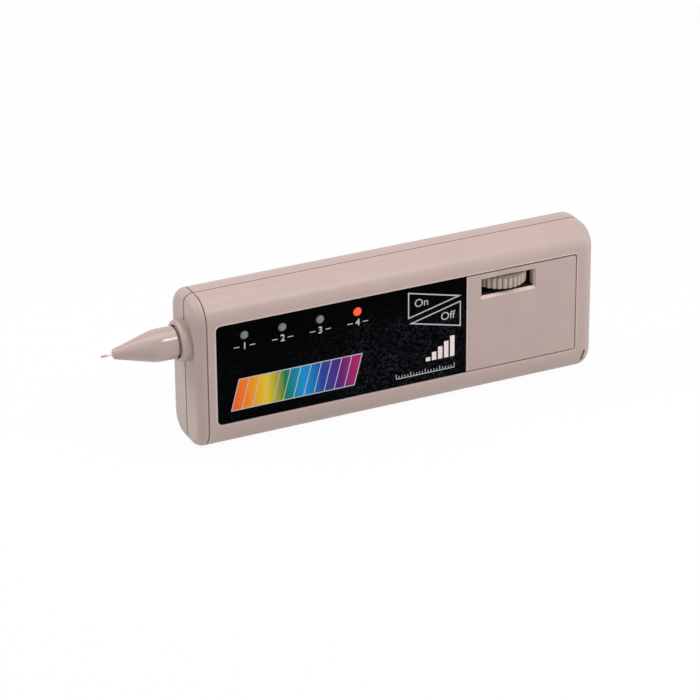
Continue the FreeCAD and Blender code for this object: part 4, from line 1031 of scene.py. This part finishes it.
def area_light(name, power, size, azimuth, elevation, distance, color=(1, 1, 1)):
    """A square lamp aimed at the object, at two angles in degrees and a distance from it."""
    lamp = bpy.data.lights.new(name, "AREA")
    lamp.size = size
    lamp.energy = power
    lamp.color = color
    towards = direction(azimuth, elevation)
    aim = Vector((0, 0, 30 * MM))
    holder = placed(name, lamp)
    holder.location = towards * distance + aim
    holder.rotation_euler = towards.to_track_quat("Z", "Y").to_euler()


class TESTER_OT_set_stage(Operator):
    """Sets the camera at the photograph's angle, the soft light and the white floor"""
    bl_idname = "tester.set_stage"
    bl_label = "Set the stage"

    def execute(self, context):
        scene = context.scene
        look = scene.tester_stage
        right, up, back = view_axes(look)
        middle = Vector((-1.25, 1.0, 24.0)) * MM
        shift_right, shift_up = -10.342 * MM, -6.070 * MM
        aim = middle + right * shift_right + up * shift_up
        lens = bpy.data.cameras.new("camera")
        lens.lens = look.focal_length
        lens.sensor_width = 36
        lens.clip_start, lens.clip_end = 0.05, 20
        camera = placed("camera", lens)
        turned = Matrix((right, up, back)).transposed().to_4x4()
        camera.matrix_world = Matrix.Translation(aim + back * look.distance) @ turned
        scene.camera = camera
        scene.view_settings.view_transform = "Standard"

        floor_mesh = bpy.data.meshes.new("floor")
        half = 3.0
        corners = [(x, y, 0) for x, y in rectangle(-half, half, -half, half)]
        floor_mesh.from_pydata(corners, [], [(0, 1, 2, 3)])
        floor = placed("floor", floor_mesh)
        finish = Finish("floor_white")
        diffuse = finish.add("ShaderNodeBsdfDiffuse", {"Color": (0.85, 0.85, 0.85, 1)})
        white = finish.add("ShaderNodeEmission", {"Color": (1, 1, 1, 1), "Strength": 1.0})
        mix = finish.add("ShaderNodeMixShader", {0: seen(finish) * look.glare, 1: diffuse, 2: white})
        finish.add("ShaderNodeOutputMaterial", {"Surface": mix})
        floor_mesh.materials.append(finish.material)

        world = bpy.data.worlds.new("studio")
        world.use_nodes = True
        scene.world = world
        sky = Nodes(world.node_tree)
        even = sky.add("ShaderNodeBackground", {"Color": (1, 1, 1, 1), "Strength": look.sky})
        bright = sky.add("ShaderNodeBackground", {"Color": (1, 1, 1, 1), "Strength": 1.0})
        both = sky.add("ShaderNodeMixShader", {0: seen(sky), 1: even, 2: bright})
        sky.add("ShaderNodeOutputWorld", {"Surface": both})

        pink = 1.0, 0.85, 0.89
        area_light("key_light", look.key, size=0.15, azimuth=23, elevation=49, distance=0.58)
        area_light("top_light", look.top, size=0.30, azimuth=0, elevation=88, distance=0.45, color=pink)
        area_light("left_light", look.left, size=0.30, azimuth=-110, elevation=35, distance=0.6)
        area_light("right_light", look.right, size=0.40, azimuth=60, elevation=15, distance=0.6)
        return {"FINISHED"}


class TESTER_PT_panel(Panel):
    """The tester's pieces and settings"""
    bl_label = "Tester"
    bl_space_type = "VIEW_3D"
    bl_region_type = "UI"
    bl_category = "Tester"

    def draw(self, context):
        for operator in operators:
            self.layout.operator(operator.bl_idname)
        for setting, group in settings.items():
            box = self.layout.box()
            for name in group.__annotations__:
                box.prop(getattr(context.scene, setting), name)


settings = {"tester_case": CaseLook, "tester_label": LabelLook, "tester_lamps": LampLook,
            "tester_wheel": WheelLook, "tester_spring": SpringLook, "tester_stage": StageLook}
operators = (TESTER_OT_dress_case, TESTER_OT_print_label, TESTER_OT_fit_lamps, TESTER_OT_cut_wheel,
             TESTER_OT_finish_probe, TESTER_OT_coil_spring, TESTER_OT_dress_inside, TESTER_OT_set_stage)
classes = (*settings.values(), *operators, TESTER_PT_panel)


def register():
    for made in classes:
        bpy.utils.register_class(made)
    for name, group in settings.items():
        setattr(bpy.types.Scene, name, PointerProperty(type=group))


def unregister():
    for name in settings:
        delattr(bpy.types.Scene, name)
    for made in reversed(classes):
        bpy.utils.unregister_class(made)


def main():
    register()
    bpy.ops.tester.dress_case()
    bpy.ops.tester.print_label()
    bpy.ops.tester.fit_lamps()
    bpy.ops.tester.cut_wheel()
    bpy.ops.tester.finish_probe()
    bpy.ops.tester.coil_spring()
    bpy.ops.tester.dress_inside()
    bpy.ops.tester.set_stage()


if __name__ == "__main__":
    main()
